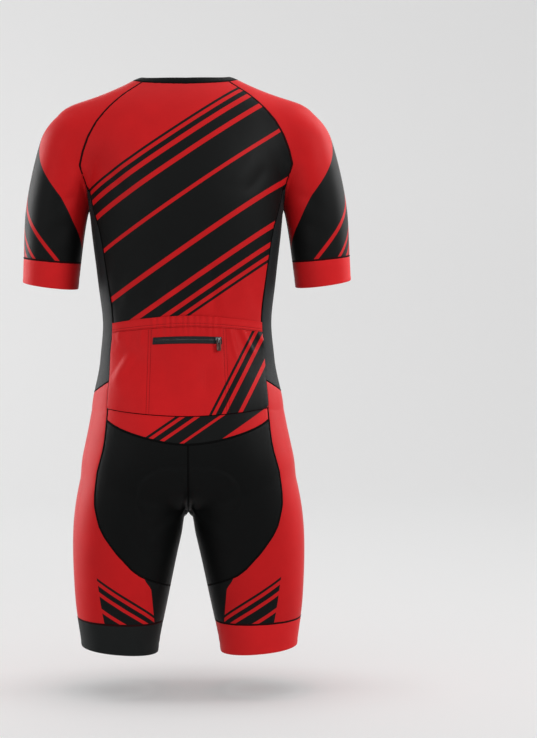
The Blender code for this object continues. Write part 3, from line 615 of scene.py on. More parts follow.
# plain parallel stripes of graduated widths: centre and width in mm, square to the angle
backPrint = {"angle": 34, "stripes": [
    (-66, 4), (-78, 8), (-98, 16), (-136, 44), (-196, 64), (-256, 40), (-292, 16), (-311, 8), (-323, 4),
    (-446, 4), (-457, 8), (-474, 16), (-500, 28)]}
pocketPrint = {"angle": 62, "stripes": [(-288, 4), (-299, 8), (-317, 16), (-347, 32)]}
sleevePrint = {"angle": 52, "onCloth": True, "stripes": [(-78, 60), (-126, 24), (-148, 10), (-161, 4)]}
legPrint = {"angle": 36, "onCloth": True, "stripes": [(-656, 24), (-630, 16), (-612, 8), (-600, 4)],
            "within": (176, 168), "inseam": (280, 200)}  # across the leg, and dark along the inseam


def printMask(tree, style, uvPart, placePart):
    across, up = placePart.outputs[0], placePart.outputs[2]
    if "onCloth" in style:  # measured along the cloth, alike on both sides of its middle
        across, up = calc(tree, "ABSOLUTE", uvPart.outputs[0]), uvPart.outputs[1]
    a = math.radians(style["angle"])
    slant = calc(tree, "MULTIPLY_ADD", up, math.cos(a), calc(tree, "MULTIPLY", across, math.sin(a)))
    mask = stripeMask(tree, slant, style["stripes"])
    if "within" in style:
        bars = calc(tree, "MULTIPLY", mask, stripeMask(tree, across, [style["within"]]))
        mask = calc(tree, "MAXIMUM", bars, stripeMask(tree, across, [style["inseam"]]))
    return mask


knit = {"rib": 1.25, "course": 1.6, "ribHigh": 0.05, "tone": 0.05,  # mm; coarser than the real 0.4 mm loops
        "ink": "#0C0D0D", "shine": 0.1, "ior": 1.45, "sheenRough": 0.2, "sheenTint": (1.0, 0.93, 0.92, 1)}


def knitMaterial(name, ground, stripes=None, rough=0.55, sheen=0.24, ribHigh=knit["ribHigh"]):
    # warp-knitted polyester and elastane, dye-sublimated: smooth, slightly silky, brighter at grazing light
    material, tree, shade = startMaterial(name, rough, Sheen_Weight=sheen, Sheen_Roughness=knit["sheenRough"],
                                          Specular_IOR_Level=knit["shine"], IOR=knit["ior"])
    shade.inputs["Sheen Tint"].default_value = knit["sheenTint"]
    sources = (addNode(tree, "UVMap", {"uv_map": "clothUv"}).outputs[0],
               addNode(tree, "TexCoord").outputs["Object"])
    toMm = {"operation": "SCALE", "Scale": 1000.0}
    uvMm, placeMm = [addNode(tree, "VectorMath", toMm, i0=source).outputs[0] for source in sources]
    uvPart, placePart = [addNode(tree, "SeparateXYZ", i0=socket) for socket in (uvMm, placeMm)]
    cloud = addNode(tree, "TexNoise", {"Scale": 0.02, "Detail": 3.0, "Roughness": 0.6}, Vector=placeMm)
    spread = {1: 0.3, 2: 0.7, 3: 1 - knit["tone"], 4: 1 + knit["tone"]}
    tone = addNode(tree, "MapRange", spread, i0=cloud.outputs[0])
    colour = addNode(tree, "MixRGB", {"blend_type": "MIX", 0: 0.0, 1: linear(ground), 2: linear(knit["ink"])})
    if stripes is not None:
        tree.links.new(printMask(tree, stripes, uvPart, placePart), colour.inputs[0])
    toned = addNode(tree, "VectorMath", {"operation": "SCALE"}, i0=colour.outputs[0], Scale=tone.outputs[0])
    tree.links.new(toned.outputs[0], shade.inputs["Base Color"])
    ribs, loops = [calc(tree, "SINE", calc(tree, "MULTIPLY", uvPart.outputs[i], 2 * math.pi / knit[key]))
                   for i, key in enumerate(("rib", "course"))]
    bump = addNode(tree, "Bump", {"Strength": 0.35, "Distance": ribHigh * mm},
                   Height=calc(tree, "MULTIPLY_ADD", loops, 0.5, ribs))
    tree.links.new(bump.outputs[0], shade.inputs["Normal"])
    return material


def plainMaterial(name, colour, rough, metallic=0.0, shine=0.5):
    material, tree, shade = startMaterial(name, rough, Metallic=metallic, Specular_IOR_Level=shine)
    shade.inputs["Base Color"].default_value = linear(colour)
    return material


red = "#AC1316"
cloth = {
    "back": knitMaterial("sublimatedRedKnitBack", red, backPrint),
    "sleeve": knitMaterial("sublimatedRedKnitSleeve", red, sleevePrint),
    "leg": knitMaterial("sublimatedRedKnitLeg", red, legPrint),
    "pocket": knitMaterial("sublimatedRedPocketKnit", red, pocketPrint),
    "red": knitMaterial("sublimatedRedKnit", red),
    # dyed in the piece, dense and matt, so the seat stays nearly black
    "black": knitMaterial("blackCompressionKnit", "#040505", sheen=0.03),
    # open mesh, with the deepest ribs
    "charcoal": knitMaterial("charcoalMeshKnit", "#1B1D1E", rough=0.6, sheen=0.1, ribHigh=0.09),
    # knitted elastic, ribbed and a little duller than the panels beside it
    "redBand": knitMaterial("redElasticKnitBand", "#B8191C", rough=0.58, ribHigh=0.07),
    "blackBand": knitMaterial("blackElasticKnitBand", "#151717", rough=0.58, sheen=0.04, ribHigh=0.07),
    "elastic": knitMaterial("redFoldOverElastic", "#B01518"),
    # brushed cover bonded to foam: soft, with no gloss
    "pad": knitMaterial("brushedFoamPadCover", "#2B2D30", rough=0.8, sheen=0.1),
    # tightly woven tape, dull beside its coil
    "tape": knitMaterial("wovenPolyesterZipTape", "#202224", rough=0.7, sheen=0.05),
    # spun polyester thread is matt
    "thread": plainMaterial("spunPolyesterThreadMaroon", "#4A0A0C", 0.8, shine=0.08),
    "zipThread": plainMaterial("spunPolyesterThreadBlack", "#0A0B0B", 0.8, shine=0.08),
    "maroonThread": plainMaterial("overlockSeamMaroon", "#1F0506", 0.8, shine=0.06),
    "blackThread": plainMaterial("overlockSeamBlack", "#060606", 0.8, shine=0.04),
    # extruded nylon is glossy; plated zinc castings are dark and bright at their edges
    "coil": plainMaterial("blackNylonCoil", "#101112", 0.35),
    "sliderMetal": plainMaterial("gunmetalPlatedZinc", "#77787A", 0.25, metallic=1.0),
    "pullMetal": plainMaterial("bronzedZincCasting", "#4C3A36", 0.42, metallic=1.0)}
print("materials made")

# panels: steps finer down and across, column that is the print's middle, where the folds die out towards
# the front, and folds, each a row of x, z from; x, z to; width; height; bow
panels = {
    "back": {"grid": back, "shape": figure, "steps": (7, 7), "mid": half, "fade": (0, 25), "folds": [
        (10, -322, 15, -394, 8, -2.0, 2), (30, -312, 35, -392, 7, 1.5, -2), (50, -326, 49, -392, 8, -1.8, 1),
        (-18, -306, -23, -394, 8, 1.7, 1), (-38, -296, -42, -394, 7, -2.2, -2),
        (-60, -318, -57, -392, 8, 1.5, 2),
        (94, -292, 114, -384, 11, -2.2, 3), (-98, -302, -110, -388, 11, -2.0, -3),
        (120, -236, 96, -332, 13, 1.6, 4), (-122, -246, -98, -332, 13, 1.5, -4),
        (130, -148, 92, -198, 8, -2.0, 3), (-130, -148, -92, -200, 8, -2.1, -3),
        (114, -126, 66, -182, 11, 1.4, 5), (-114, -126, -66, -188, 11, 1.3, -5),
        (20, -60, 4, -300, 26, -1.0, 0), (62, -90, 60, -240, 28, 0.8, 4),
        (-66, -90, -58, -250, 28, 0.8, -4)]},
    "sleeve": {"grid": sleeve[:len(sleeve) - cut["cuffRows"]], "shape": figure, "steps": (8, 8),
               "mid": cut["sleeveColumns"] // 2, "fade": (-30, 10), "folds": [
        (168, -190, 214, -214, 8, -1.3, 3), (170, -208, 226, -246, 9, 1.0, 4),
        (174, -236, 232, -262, 9, -1.0, 3),
        (178, -262, 236, -282, 8, 0.8, -3), (150, -90, 196, -150, 14, -0.9, 6)]},
    "side": {"grid": sidePiece, "shape": figure, "steps": (7, 6), "mid": cut["sideColumns"] // 2,
             "folds": []},
    "leg": {"grid": leg, "shape": torso, "steps": (5, 8), "mid": cut["legColumns"] // 2, "fade": (0, 25),
            "folds": [
        (150, -560, 168, -640, 12, 0.9, 3), (60, -842, 150, -858, 7, -0.7, 3),
        (66, -858, 140, -868, 6, 0.6, 2), (148, -760, 120, -850, 16, -0.8, 4)]},
    "seat": {"grid": seat, "shape": torso, "steps": (7, 6), "mid": 0, "fade": (0, 25), "folds": [
        (30, -708, 66, -748, 8, -1.1, 3), (36, -718, 62, -768, 9, 0.7, 4),
        (96, -735, 48, -790, 12, -0.8, -4)]},
    "front": {"grid": front, "shape": figure, "steps": (7, 6), "mid": half, "folds": [
        (124, -160, 84, -220, 11, -1.2, 4), (110, -130, 60, -190, 13, 0.8, 5),
        (112, -420, 40, -470, 12, -1.0, 5),
        (110, -450, 30, -510, 12, 0.9, 5), (100, -500, 20, -545, 11, -0.9, 4)]},
    "shorts": {"grid": shorts, "shape": torso, "steps": (7, 6), "mid": 0, "folds": [
        (18, -640, 90, -620, 9, -1.3, -4), (16, -660, 96, -650, 9, 0.9, -4),
        (20, -690, 84, -700, 9, -1.0, 4)]}}
arch = {"rise": 5, "flare": 0.2, "wide": 8, "fade": (-708, -675)}
padEdge = {"straight": 26, "wide": 57, "middle": -674, "tall": 45, "soft": (0.95, 1.05), "line": 0.045,
           "rise": 2.2, "groove": 1.6, "foot": (-712, -690), "rear": (10, 40), "seam": (1.5, 7)}


def crotchArch(p):  # the gap between the legs is rounded at its top
    x, z = p[..., 0], p[..., 2]
    near = np.exp(-(x / arch["wide"]) ** 4) * (1 - smoothStep(z, *arch["fade"]))
    return p + ((arch["rise"] + arch["flare"] * x * x) * near)[..., None] * np.array([0, 0, 1.0])


def finePanel(key):
    p = panels[key]
    normal = outward(p["grid"])
    if key in ("side", "sleeve"):  # the two walls under the arm lean apart
        lean = np.array([cut["armholeLean"], 0, 0])
        if key == "side":
            normal[0, 1:-1] += lean
        else:
            normal[raglanCount + 1:raglanCount + cut["underarmRows"] + 1, [0, -1]] -= lean
    fine = settle(finer(p["grid"], *p["steps"]), p["shape"])
    if key in ("seat", "shorts"):
        fine = crotchArch(fine)
    normal = unit(finer(unit(normal), *p["steps"]))
    lift = foldRelief(fine, p["folds"])
    if "fade" in p:
        lift = lift * smoothStep(fine[..., 1], *p["fade"])
    lift = lift + seamDip(fine)
    middle = p["mid"] * p["steps"][1]
    u = arcs(fine)[0]
    return fine, normal, lift, np.stack([u - u[:, middle:middle + 1], fine[..., 2]], -1)


def padRelief(p):  # the pad's edge shows faintly through the seat, and is lost near the crotch
    x, z = np.abs(p[..., 0]), p[..., 2]
    r = np.hypot(np.maximum(x - padEdge["straight"], 0) / padEdge["wide"],
                 (z - padEdge["middle"]) / padEdge["tall"])
    groove = padEdge["groove"] * np.exp(-((r - 1.0) / padEdge["line"]) ** 2)
    fade = smoothStep(z, *padEdge["foot"]) * smoothStep(p[..., 1], *padEdge["rear"])
    fade = fade * smoothStep(x, *padEdge["seam"])
    return (padEdge["rise"] * (1 - smoothStep(r, *padEdge["soft"])) - groove) * fade


sides = (("left", lambda p: p, 1.0), ("right", mirror, 0.82))  # the right side's folds are weaker

backForm, backNormal, lift, uv = finePanel("back")
clothPiece("backPanelCloth", backForm + backNormal * lift[..., None], backNormal, uv, "back", "red_knit",
           "back_panel", restsOn=("side_panel_left", "side_panel_right"))
for key, node, colour, slot in (
        ("sleeve", "sleeve", "sleeve", "red_knit"), ("side", "side_panel", "charcoal", "charcoal_knit"),
        ("leg", "leg", "leg", "red_knit"), ("seat", "seat", "black", "black_knit"),
        ("front", "front", "red", "red_knit"), ("shorts", "shorts_front", "black", "black_knit")):
    fine, normal, lift, uv = finePanel(key)
    if key == "side":
        sideFoot = fine[-1]
    if key == "leg":  # both cloths meet on one curve at the hip
        t = np.linspace(0, 1, fine.shape[1])
        own = np.linspace(0, 1, len(sideFoot))
        curve = np.stack([np.interp(t, own, sideFoot[:, k]) for k in range(3)], -1)
        fine = fine + (curve - fine[0]) * (1 - smoothStep(np.arange(len(fine)), 0, 10))[:, None, None]
        lift[0] -= 0.25
    if key == "seat":
        lift = lift + padRelief(fine)
    for word, turn, strength in sides:
        outer = fine + normal * (lift * strength)[..., None]
        clothPiece(key + "Cloth" + word.capitalize(), turn(outer), turn(normal), uv, colour, slot, node,
                   node + "_" + word)
print("panels sewn")

hem = {"steps": (12, 8), "lift": 0.25, "roll": 0.35, "rollAt": 3.5, "rollWide": 2.2, "thick": 1.4}


def bandPieces(name, grid, shape, key, looks):
    normal = unit(finer(outward(grid), *hem["steps"]))
    fine = settle(finer(grid, *hem["steps"]), shape)
    u, v = arcs(fine)
    roll = hem["roll"] * np.exp(-((v[-1:] - v - hem["rollAt"]) / hem["rollWide"]) ** 2)
    lift = seamDip(fine, ("top", "left", "right")) + hem["lift"] + roll
    outer = fine + normal * lift[..., None]
    for (word, turn, strength), (colour, slot) in zip(sides, looks):
        clothPiece(name + word.capitalize(), turn(outer), turn(normal), np.stack([u, -v], -1), colour, slot,
                   key, key + "_" + word, thick=hem["thick"])


redLook, blackLook = ("redBand", "red_grip"), ("blackBand", "black_grip")
bandPieces("cuff", sleeve[len(sleeve) - 1 - cut["cuffRows"]:], figure, "cuff", (redLook, redLook))
bandPieces("legBand", legBand, torso, "leg_band", (blackLook, redLook))

# neck band, a leaned ring open at the front zip and narrower over the shoulders
neck = {"spans": (40, 56, 80, 56, 40), "lean": 0.95, "sideLean": 0.09, "narrow": 0.5, "narrowAt": 88,
        "narrowWide": 36, "rows": 9, "puff": 0.5, "thick": 1.5}
edge = roundAngle(front[:1, -1], trunkCentre)[0]
stops = (edge, cut["raglanFront"], cut["raglanBack"], -cut["raglanBack"], -cut["raglanFront"], -edge)
angles = np.concatenate([a + (b - a) * np.arange(n) / n for a, b, n in zip(stops, stops[1:], neck["spans"])]
                        + [[-edge]])
seamRing = neckPoints(angles)
lean = neck["lean"] - neck["sideLean"] * np.sin(np.radians(angles))[:, None] ** 2
rimRing = seamRing * np.hstack([lean, lean, np.ones_like(lean)])
shoulder = (np.abs(np.where(angles > 180, angles - 360, angles)) - neck["narrowAt"]) / neck["narrowWide"]
rimRing[:, 2] += cut["neckBandTall"] * (1 - neck["narrow"] * np.exp(-shoulder ** 2))
t = np.linspace(0, 1, neck["rows"])[:, None, None]
band = seamRing[None] * (1 - t) + rimRing[None] * t
across = np.cross(np.gradient(seamRing, axis=0), rimRing - seamRing)
across *= np.sign((across * seamRing * (1, 1, 0)).sum(1, keepdims=True))
across = np.repeat(unit(across)[None], neck["rows"], 0)
puff = neck["puff"] * np.sin(math.pi * t[..., 0])
clothPiece("neckBandCloth", (band + across * puff[..., None])[::-1], across[::-1],
           np.stack(arcs(band), -1)[::-1], "black", "black_knit", "neck_band", thick=neck["thick"])


def onGrid(p, u, v):  # points between the grid's own
    u, v = np.broadcast_arrays(np.asarray(u, float), np.asarray(v, float))
    j = np.clip(u.astype(int), 0, p.shape[1] - 2)
    i = np.clip(v.astype(int), 0, p.shape[0] - 2)
    s, t = (u - j)[..., None], (v - i)[..., None]
    top = p[i, j] * (1 - s) + p[i, j + 1] * s
    foot = p[i + 1, j] * (1 - s) + p[i + 1, j + 1] * s
    return top * (1 - t) + foot * t


# rear pocket: one panel sewn down into three, with a gathered elastic edge and a zip
pocket = {"lay": 0.35, "bandTall": 15.0, "gathers": 11, "gatherPitch": 10.6, "gatherRise": 2.0,
          "zipLong": 113.0, "zipTall": 10.0, "zipHeight": -428.0, "dividers": (59.0, 63.5), "twin": 4.4,
          "stitchIn": 2.2, "hemStitches": (0.7, 0.92), "margin": 0.05,
          "panelUp": 1.15, "bandUp": 1.6, "zipUp": 2.05,  # mm over the back
          "panelGrid": (131, 68), "bandGrid": (241, 15), "zipGrid": (77, 11),
          "folds": [  # x, z from; x, z to; width; height; bow
              (-66, -398, -80, -466, 4.0, 2.6, 1), (-74, -398, -94, -464, 4.2, -2.4, 1),
              (-82, -398, -107, -458, 4.4, 2.8, 1), (-92, -398, -118, -450, 4.8, -2.3, 2),
              (-103, -400, -127, -440, 4.4, 2.2, 2), (-76, -450, -104, -506, 13, 1.6, 4),
              (84, -448, 119, -502, 8.0, 3.0, 2), (99, -440, 128, -488, 8.0, -2.2, 2),
              (72, -452, 96, -520, 9.0, -1.8, 2), (112, -420, 127, -455, 5.5, -1.5, 2),
              (70, -400, 75, -442, 4.5, 1.6, 1), (85, -400, 93, -438, 5.0, -1.5, 1),
              (101, -402, 111, -430, 4.5, 1.4, 1), (4, -446, -8, -524, 28, 1.2, 3),
              (40, -450, 46, -530, 14, -0.9, 2), (-30, -456, -44, -528, 12, -0.8, 3)]}
backSteps = panels["back"]["steps"][0]
topRow, footRow = keyRows[1], keyRows[3]
rowTall = abs(back[topRow + 1, 0, 2] - back[topRow, 0, 2])
bandRows = pocket["bandTall"] / rowTall
columnAngle = abs(roundAngle(back[topRow:topRow + 1, 0], trunkCentre)[0]) / half


def columnsFor(reach, row):  # how many of the back's columns a half width covers
    return math.degrees(math.atan2(reach, back[row, half, 1])) / columnAngle


gatherReach = columnsFor(pocket["gathers"] * pocket["gatherPitch"] / 2, topRow)
zipReach = columnsFor(pocket["zipLong"] / 2, topRow + 1)
fullWidth = (pocket["margin"], 2 * half - pocket["margin"])


def laidOn(columns, rows):
    u, v = np.meshgrid(np.asarray(columns, float), np.asarray(rows, float))
    k = backSteps
    return onGrid(backForm, u * k, v * k), unit(onGrid(backNormal, u * k, v * k)), u, v


def gatherWave(u):  # as many as in the photo, uneven in strength
    phase = (u - half) / gatherReach * pocket["gathers"] / 2
    inside = np.clip(1.15 - np.abs(u - half) / gatherReach, 0, 0.15) / 0.15
    uneven = 0.78 + 0.22 * np.sin(phase * 1.9 + 0.6)
    phase = phase + 0.09 * np.sin(phase * 2.7 + 1.0)
    return inside * uneven * (0.5 - 0.5 * np.cos(2 * math.pi * phase))


def mmUv(p):
    u, v = arcs(p)
    return np.stack([u - u[:, u.shape[1] // 2:u.shape[1] // 2 + 1], p[..., 2]], -1)


def laidPiece(name, lie, nor, lift, colour, slot, key, **more):  # keeps the surface for its stitches
    clothPiece(name, lie + nor * lift[..., None], nor, mmUv(lie), colour, slot, key, **more)
    return lie, nor, lift


columns, rows = pocket["panelGrid"]
lie, nor, u, v = laidOn(np.linspace(*fullWidth, columns),
                        np.linspace(topRow + bandRows + 0.03, footRow, rows))
depth = (v - v[:1]) * rowTall
lift = foldRelief(lie, pocket["folds"]) + 1.5 * gatherWave(u) * np.exp(-depth / 15)
away = np.abs(lie[..., 0])
width = pocket["dividers"][0] + (pocket["dividers"][1] - pocket["dividers"][0]) * depth / depth.max()
for off in (0, pocket["twin"]):  # the two rows of stitches pull the cloth down
    lift -= 0.55 * np.exp(-((away - width - off + pocket["stitchIn"]) / 1.7) ** 2)
lift += 0.9 * np.exp(-((away - 94) / 26) ** 2) * np.exp(-depth / 60)  # side mouths stand off a little
lift = np.maximum(lift, -0.25) + seamDip(lie, ("foot", "left", "right"), 0.3, 2.0, 0.1)
pocketTop = laidPiece("pocketPanelCloth", lie, nor, pocket["lay"] + pocket["panelUp"] + lift, "pocket",
                      "red_knit", "pocket_panel")

columns, rows = pocket["bandGrid"]
lie, nor, u, v = laidOn(np.linspace(*fullWidth, columns), topRow + np.linspace(0, 1, rows) * bandRows)
share = (v - topRow) / bandRows
rise = pocket["gatherRise"] * gatherWave(u) * (1 - 0.45 * smoothStep(share, 0, 1))
for line in pocket["hemStitches"]:
    rise -= 0.4 * np.exp(-((share - line) / 0.07) ** 2)
lift = pocket["lay"] + pocket["bandUp"] + rise + 0.3 * np.exp(-(share / 0.12) ** 2)
bandTop = laidPiece("pocketBandCloth", lie, nor, lift, "elastic", "pocket_elastic", "pocket_band", thick=1.3)

zipRow = np.interp(-pocket["zipHeight"], -back[:, half, 2], np.arange(len(back)))
tall = pocket["zipTall"] / 2 / rowTall
columns, rows = pocket["zipGrid"]
lie, nor, u, v = laidOn(half + np.linspace(-zipReach, zipReach, columns),
                        zipRow + np.linspace(-tall, tall, rows))
share = (v - zipRow) / tall
lift = pocket["lay"] + pocket["zipUp"] + 0.3 * np.exp(-(share / 0.45) ** 2)  # raised under the coil
zipTop = laidPiece("pocketZipTape", lie, nor, lift, "tape", "zip_tape", "pocket_zip", thick=0.8,
                   restsOn=("pocket_panel",))

# front zip's tape
x = np.linspace(1, -1, 9) * (cut["zipWide"] / 2 - cut["seam"] / 2)
z = np.interp(np.linspace(0, len(front) - 1, 190), np.arange(len(front)), front[:, -1, 2])
strip = cast(np.stack(np.broadcast_arrays(x, 0.0, z[:, None]), -1), (0, -1, 0))
share = rimRing[0, 1] / seamRing[0, 1]
t = np.linspace(1, 0, 5)[:-1, None, None]
aboveNeck = strip[:1] * (1 + t * (np.array([1, share, 1]) - 1)) + t * (0, 0, cut["neckBandTall"])
strip = np.concatenate([aboveNeck, strip])
stripNormal = outward(strip)
u, v = arcs(strip)
clothPiece("frontZipTape", strip - stripNormal * 0.1, stripNormal, np.stack([u - u[:, 4:5], -v], -1), "tape",
           "zip_tape", "front_zip", restsOn=("front_left", "front_right"))
print("pocket and zips laid")


# sewing
def manyCopies(name, shape, places, material):  # one small shape, a copy at every place
    verts, faces = shape
    origin, along, across, out = places
    v = (origin[:, None] + along[:, None] * verts[None, :, :1] + across[:, None] * verts[None, :, 1:2]
         + out[:, None] * verts[None, :, 2:]) * mm
    every = [[i + len(verts) * k for i in f] for k in range(len(origin)) for f in faces]
    return meshPiece(name, v.reshape(-1, 3), every, None, material, sharp=80)


def capsule(long, thick, tall, sides=6):
    rings = [(-long / 2, 0.45), (-long / 2 + thick * 0.4, 1.0),
             (long / 2 - thick * 0.4, 1.0), (long / 2, 0.45)]
    a = np.arange(sides) * 2 * math.pi / sides
    verts = np.array([(x, r * thick / 2 * math.cos(q), r * tall / 2 * math.sin(q))
                      for x, r in rings for q in a])
    faces = [[sides * k + m, sides * (k + 1) + m, sides * (k + 1) + i, sides * k + i]
             for k in range(3) for i in range(sides) for m in [(i + 1) % sides]]
    return verts, faces + [list(range(sides)), [3 * sides + i for i in range(sides)][::-1]]


def alongLine(points, normals, pitch):
    s = np.concatenate([[0], np.cumsum(np.linalg.norm(np.diff(points, axis=0), axis=1))])
    t = np.arange(pitch / 2, s[-1], pitch)
    p = np.stack([np.interp(t, s, points[:, k]) for k in range(3)], -1)
    n = unit(np.stack([np.interp(t, s, normals[:, k]) for k in range(3)], -1))
    a = np.gradient(p, axis=0)
    a = unit(a - (a * n).sum(1, keepdims=True) * n)
    return p, a, np.cross(n, a), n


def onLift(surface, columns, rows):  # points on a laid piece's own top
    lie, nor, lift = surface[:3]
    top = lie + nor * lift[..., None]
    return onGrid(top, columns, rows), unit(onGrid(nor, columns, rows))


def sewLines(name, lines, pitch, shape, material, sink=0.02):
    parts = [alongLine(p, n, pitch) for p, n in lines]
    places = [np.concatenate([q[k] for q in parts]) for k in range(4)]
    places[0] = places[0] + places[3] * sink
    return manyCopies(name, shape, places, material)


def onRows(surface, columns, rows):
    return [onLift(surface, columns, np.full_like(columns, r)) for r in rows]


# mm; thread and coil are drawn a little heavy to show
thread = {"pitch": 3.0, "size": (2.3, 0.55, 0.4)}
coil = {"pitch": 1.5, "size": (3.6, 0.95, 0.8), "side": 0.35}
stitch, coilLoop = capsule(*thread["size"]), capsule(*coil["size"])
count = pocket["bandGrid"][0]
lines = onRows(bandTop, np.linspace(1, count - 2, 400),
               [share * (pocket["bandGrid"][1] - 1) for share in pocket["hemStitches"]])
sewLines("pocketBandStitches", lines, thread["pitch"], stitch, cloth["thread"])
count, tallCount = pocket["panelGrid"]
columns, rows, lines = np.arange(float(count)), np.linspace(0.5, tallCount - 1.5, 160), []
for sign in (1, -1):
    for off in (0, pocket["twin"]):  # each row of stitches runs at its own distance from the middle
        spot = []
        for r in rows:
            want = sign * (np.interp(r, np.arange(tallCount), width[:, 0]) + off - pocket["stitchIn"])
            xs = onGrid(pocketTop[0], columns, np.full(count, r))[:, 0]
            spot.append(np.interp(-want, -xs, columns))
        lines.append(onLift(pocketTop, np.array(spot), rows))
sewLines("pocketDividerStitches", lines, thread["pitch"], stitch, cloth["thread"])
count, tallCount = pocket["zipGrid"]
lines = onRows(zipTop, np.linspace(1, count - 2, 120), (0.7, tallCount - 1.7))
sewLines("pocketZipStitches", lines, thread["pitch"], stitch, cloth["zipThread"])

pocketCoil = onRows(zipTop, np.linspace(2, count - 3, 200), ((tallCount - 1) / 2,))[0]
for name, (p, n), rise in (("pocketZipCoil", pocketCoil, 0.18),
                           ("frontZipCoil", (strip[3:, 4], stripNormal[3:, 4]), 0.05)):
    q, a, b, n = alongLine(p, n, coil["pitch"])
    side = np.where(np.arange(len(q)) % 2 == 0, coil["side"], -coil["side"])[:, None]
    manyCopies(name, coilLoop, (q + n * rise + b * side, b, a, n), cloth["coil"])


def ribbonMesh(lines, wide, high):  # a low rounded bead along each seam
    section = np.array([(-0.5, -0.8), (-0.42, 0.0), (-0.2, 1.0), (0.2, 1.0), (0.42, 0.0), (0.5, -0.8)])
    verts, faces, base = [], [], 0
    for points, shape in lines:
        length = np.linalg.norm(np.diff(points, axis=0), axis=1).sum()
        p = settle(resample(points, max(int(length / 2.5), 2)), shape)
        n = unit(slope(p, shape))
        p = crotchArch(p)
        a = np.gradient(p, axis=0)
        b = np.cross(n, unit(a - (a * n).sum(1, keepdims=True) * n))
        ring = (p[:, None] + b[:, None] * section[None, :, :1] * wide
                + n[:, None] * section[None, :, 1:] * high)
        k = len(section)
        verts.append(ring.reshape(-1, 3))
        for i in range(base, base + (len(p) - 1) * k, k):
            for j in range(k):
                m = (j + 1) % k
                faces.append([i + j, i + m, i + k + m, i + k + j])
        last = base + (len(p) - 1) * k
        faces += [[base + j for j in range(k)][::-1], [last + j for j in range(k)]]
        base += len(p) * k
    return np.vstack(verts), faces


def selectOnly(piece):
    bpy.ops.object.select_all(action="DESELECT")
    piece.select_set(True)
    bpy.context.view_layer.objects.active = piece


def turnFacesOut(piece, merge=0):
    selectOnly(piece)
    bpy.ops.object.mode_set(mode="EDIT")
    bpy.ops.mesh.select_all(action="SELECT")
    if merge:
        bpy.ops.mesh.remove_doubles(threshold=merge)
    bpy.ops.mesh.normals_make_consistent(inside=False)
    bpy.ops.object.mode_set(mode="OBJECT")


seamSize = {"wide": 3.3, "high": 0.32, "tailMore": 0.3}


def seamPiece(name, lines, material, more=0.0, both=True):
    mirrored = [(mirror(p), shape) for p, shape in lines if both and np.abs(p[:, 0]).max() > 0.5]
    verts, faces = ribbonMesh(lines + mirrored, seamSize["wide"] + more, seamSize["high"])
    turnFacesOut(meshPiece(name, verts * mm, faces, None, cloth[material], sharp=80))


underRow = raglanCount + 1
cuffFirst = len(sleeve) - 1 - cut["cuffRows"]
seamPiece("raglanAndHemSeams", [
    (raglan[1][:underRow], figure), (raglan[-1][:underRow], figure), (sleeve[cuffFirst], figure),
    (legBand[0], torso), (leg[-3:, 0], torso),
    (sleeve[raglanCount + cut["underarmRows"]:cuffFirst + 1, 0], figure),
    (backForm[footRow * backSteps], torso)], "maroonThread")
seamPiece("sideAndSeatSeams", [
    (seam[1], figure), (seam[-1], figure), (sidePiece[-1], torso), (seatLine[1], torso),
    (seatLine[-1], torso),
    (seat[:cut["crotchRows"] + 1, -1], torso), (shorts[:, -1], torso), (front[-1], torso)],
          "blackThread")
seamPiece("tailAndNeckSeams", [(backForm[-1], torso), (seamRing, figure)], "blackThread",
          seamSize["tailMore"], both=False)
print("seams sewn")

# seat pad, one moulded foam piece inside the seat
pad = {"rows": (2, 6), "columns": (4, half), "fine": 61, "under": 1.9, "thin": 2.0, "thick": 7.0,
       "sideGroove": 0.7, "midGroove": 0.9}
u, v = np.meshgrid(np.linspace(*pad["columns"], pad["fine"]), np.linspace(*pad["rows"], pad["fine"]))
lie, nor = onGrid(seat, u, v), unit(onGrid(outward(seat), u, v))
lie[:, -1, 0], nor[:, -1, 0] = 0, 0
lie = crotchArch(lie)
lie = np.concatenate([lie, mirror(lie[:, -2::-1])], 1)
nor = unit(np.concatenate([nor, mirror(nor[:, -2::-1])], 1))
s, t = np.linspace(-1, 1, lie.shape[1])[None], np.linspace(0.06, 0.94, lie.shape[0])[:, None]
bulge = np.cos(s * math.pi / 2).clip(0) ** 0.5 * np.sin(math.pi * t) ** 0.5
groove = (pad["sideGroove"] * np.exp(-((np.abs(s) - 0.3) / 0.03) ** 2)
          + pad["midGroove"] * np.exp(-(s / 0.05) ** 2))
thick = pad["thin"] + (pad["thick"] - pad["thin"]) * bulge - groove * bulge
under = lie - nor * pad["under"]
quads, loop = gridFaces(*lie.shape[:2])[:2]
n = lie[..., 0].size
rim = np.stack([loop, np.roll(loop, -1), np.roll(loop, -1) + n, loop + n], -1)
verts = np.vstack([under.reshape(-1, 3), (under - nor * thick[..., None]).reshape(-1, 3)]) * mm
flat = np.stack(arcs(lie), -1).reshape(-1, 2) * mm
padPiece = meshPiece("seatPadFoam", verts, np.vstack([quads, quads[:, ::-1] + n, rim]),
                     np.vstack([flat, flat]), cloth["pad"])
turnFacesOut(padPiece)
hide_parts("seat_pad")


# zip sliders and pulls, die-cast
def startBlock(name, size, place):
    bpy.ops.object.select_all(action="DESELECT")
    bpy.ops.mesh.primitive_cube_add(size=1, location=[a * mm for a in place])
    piece = bpy.context.object
    piece.name = piece.data.name = name
    piece.scale = [a * mm for a in size]
    bpy.ops.object.transform_apply(location=True, rotation=True, scale=True)
    return piece


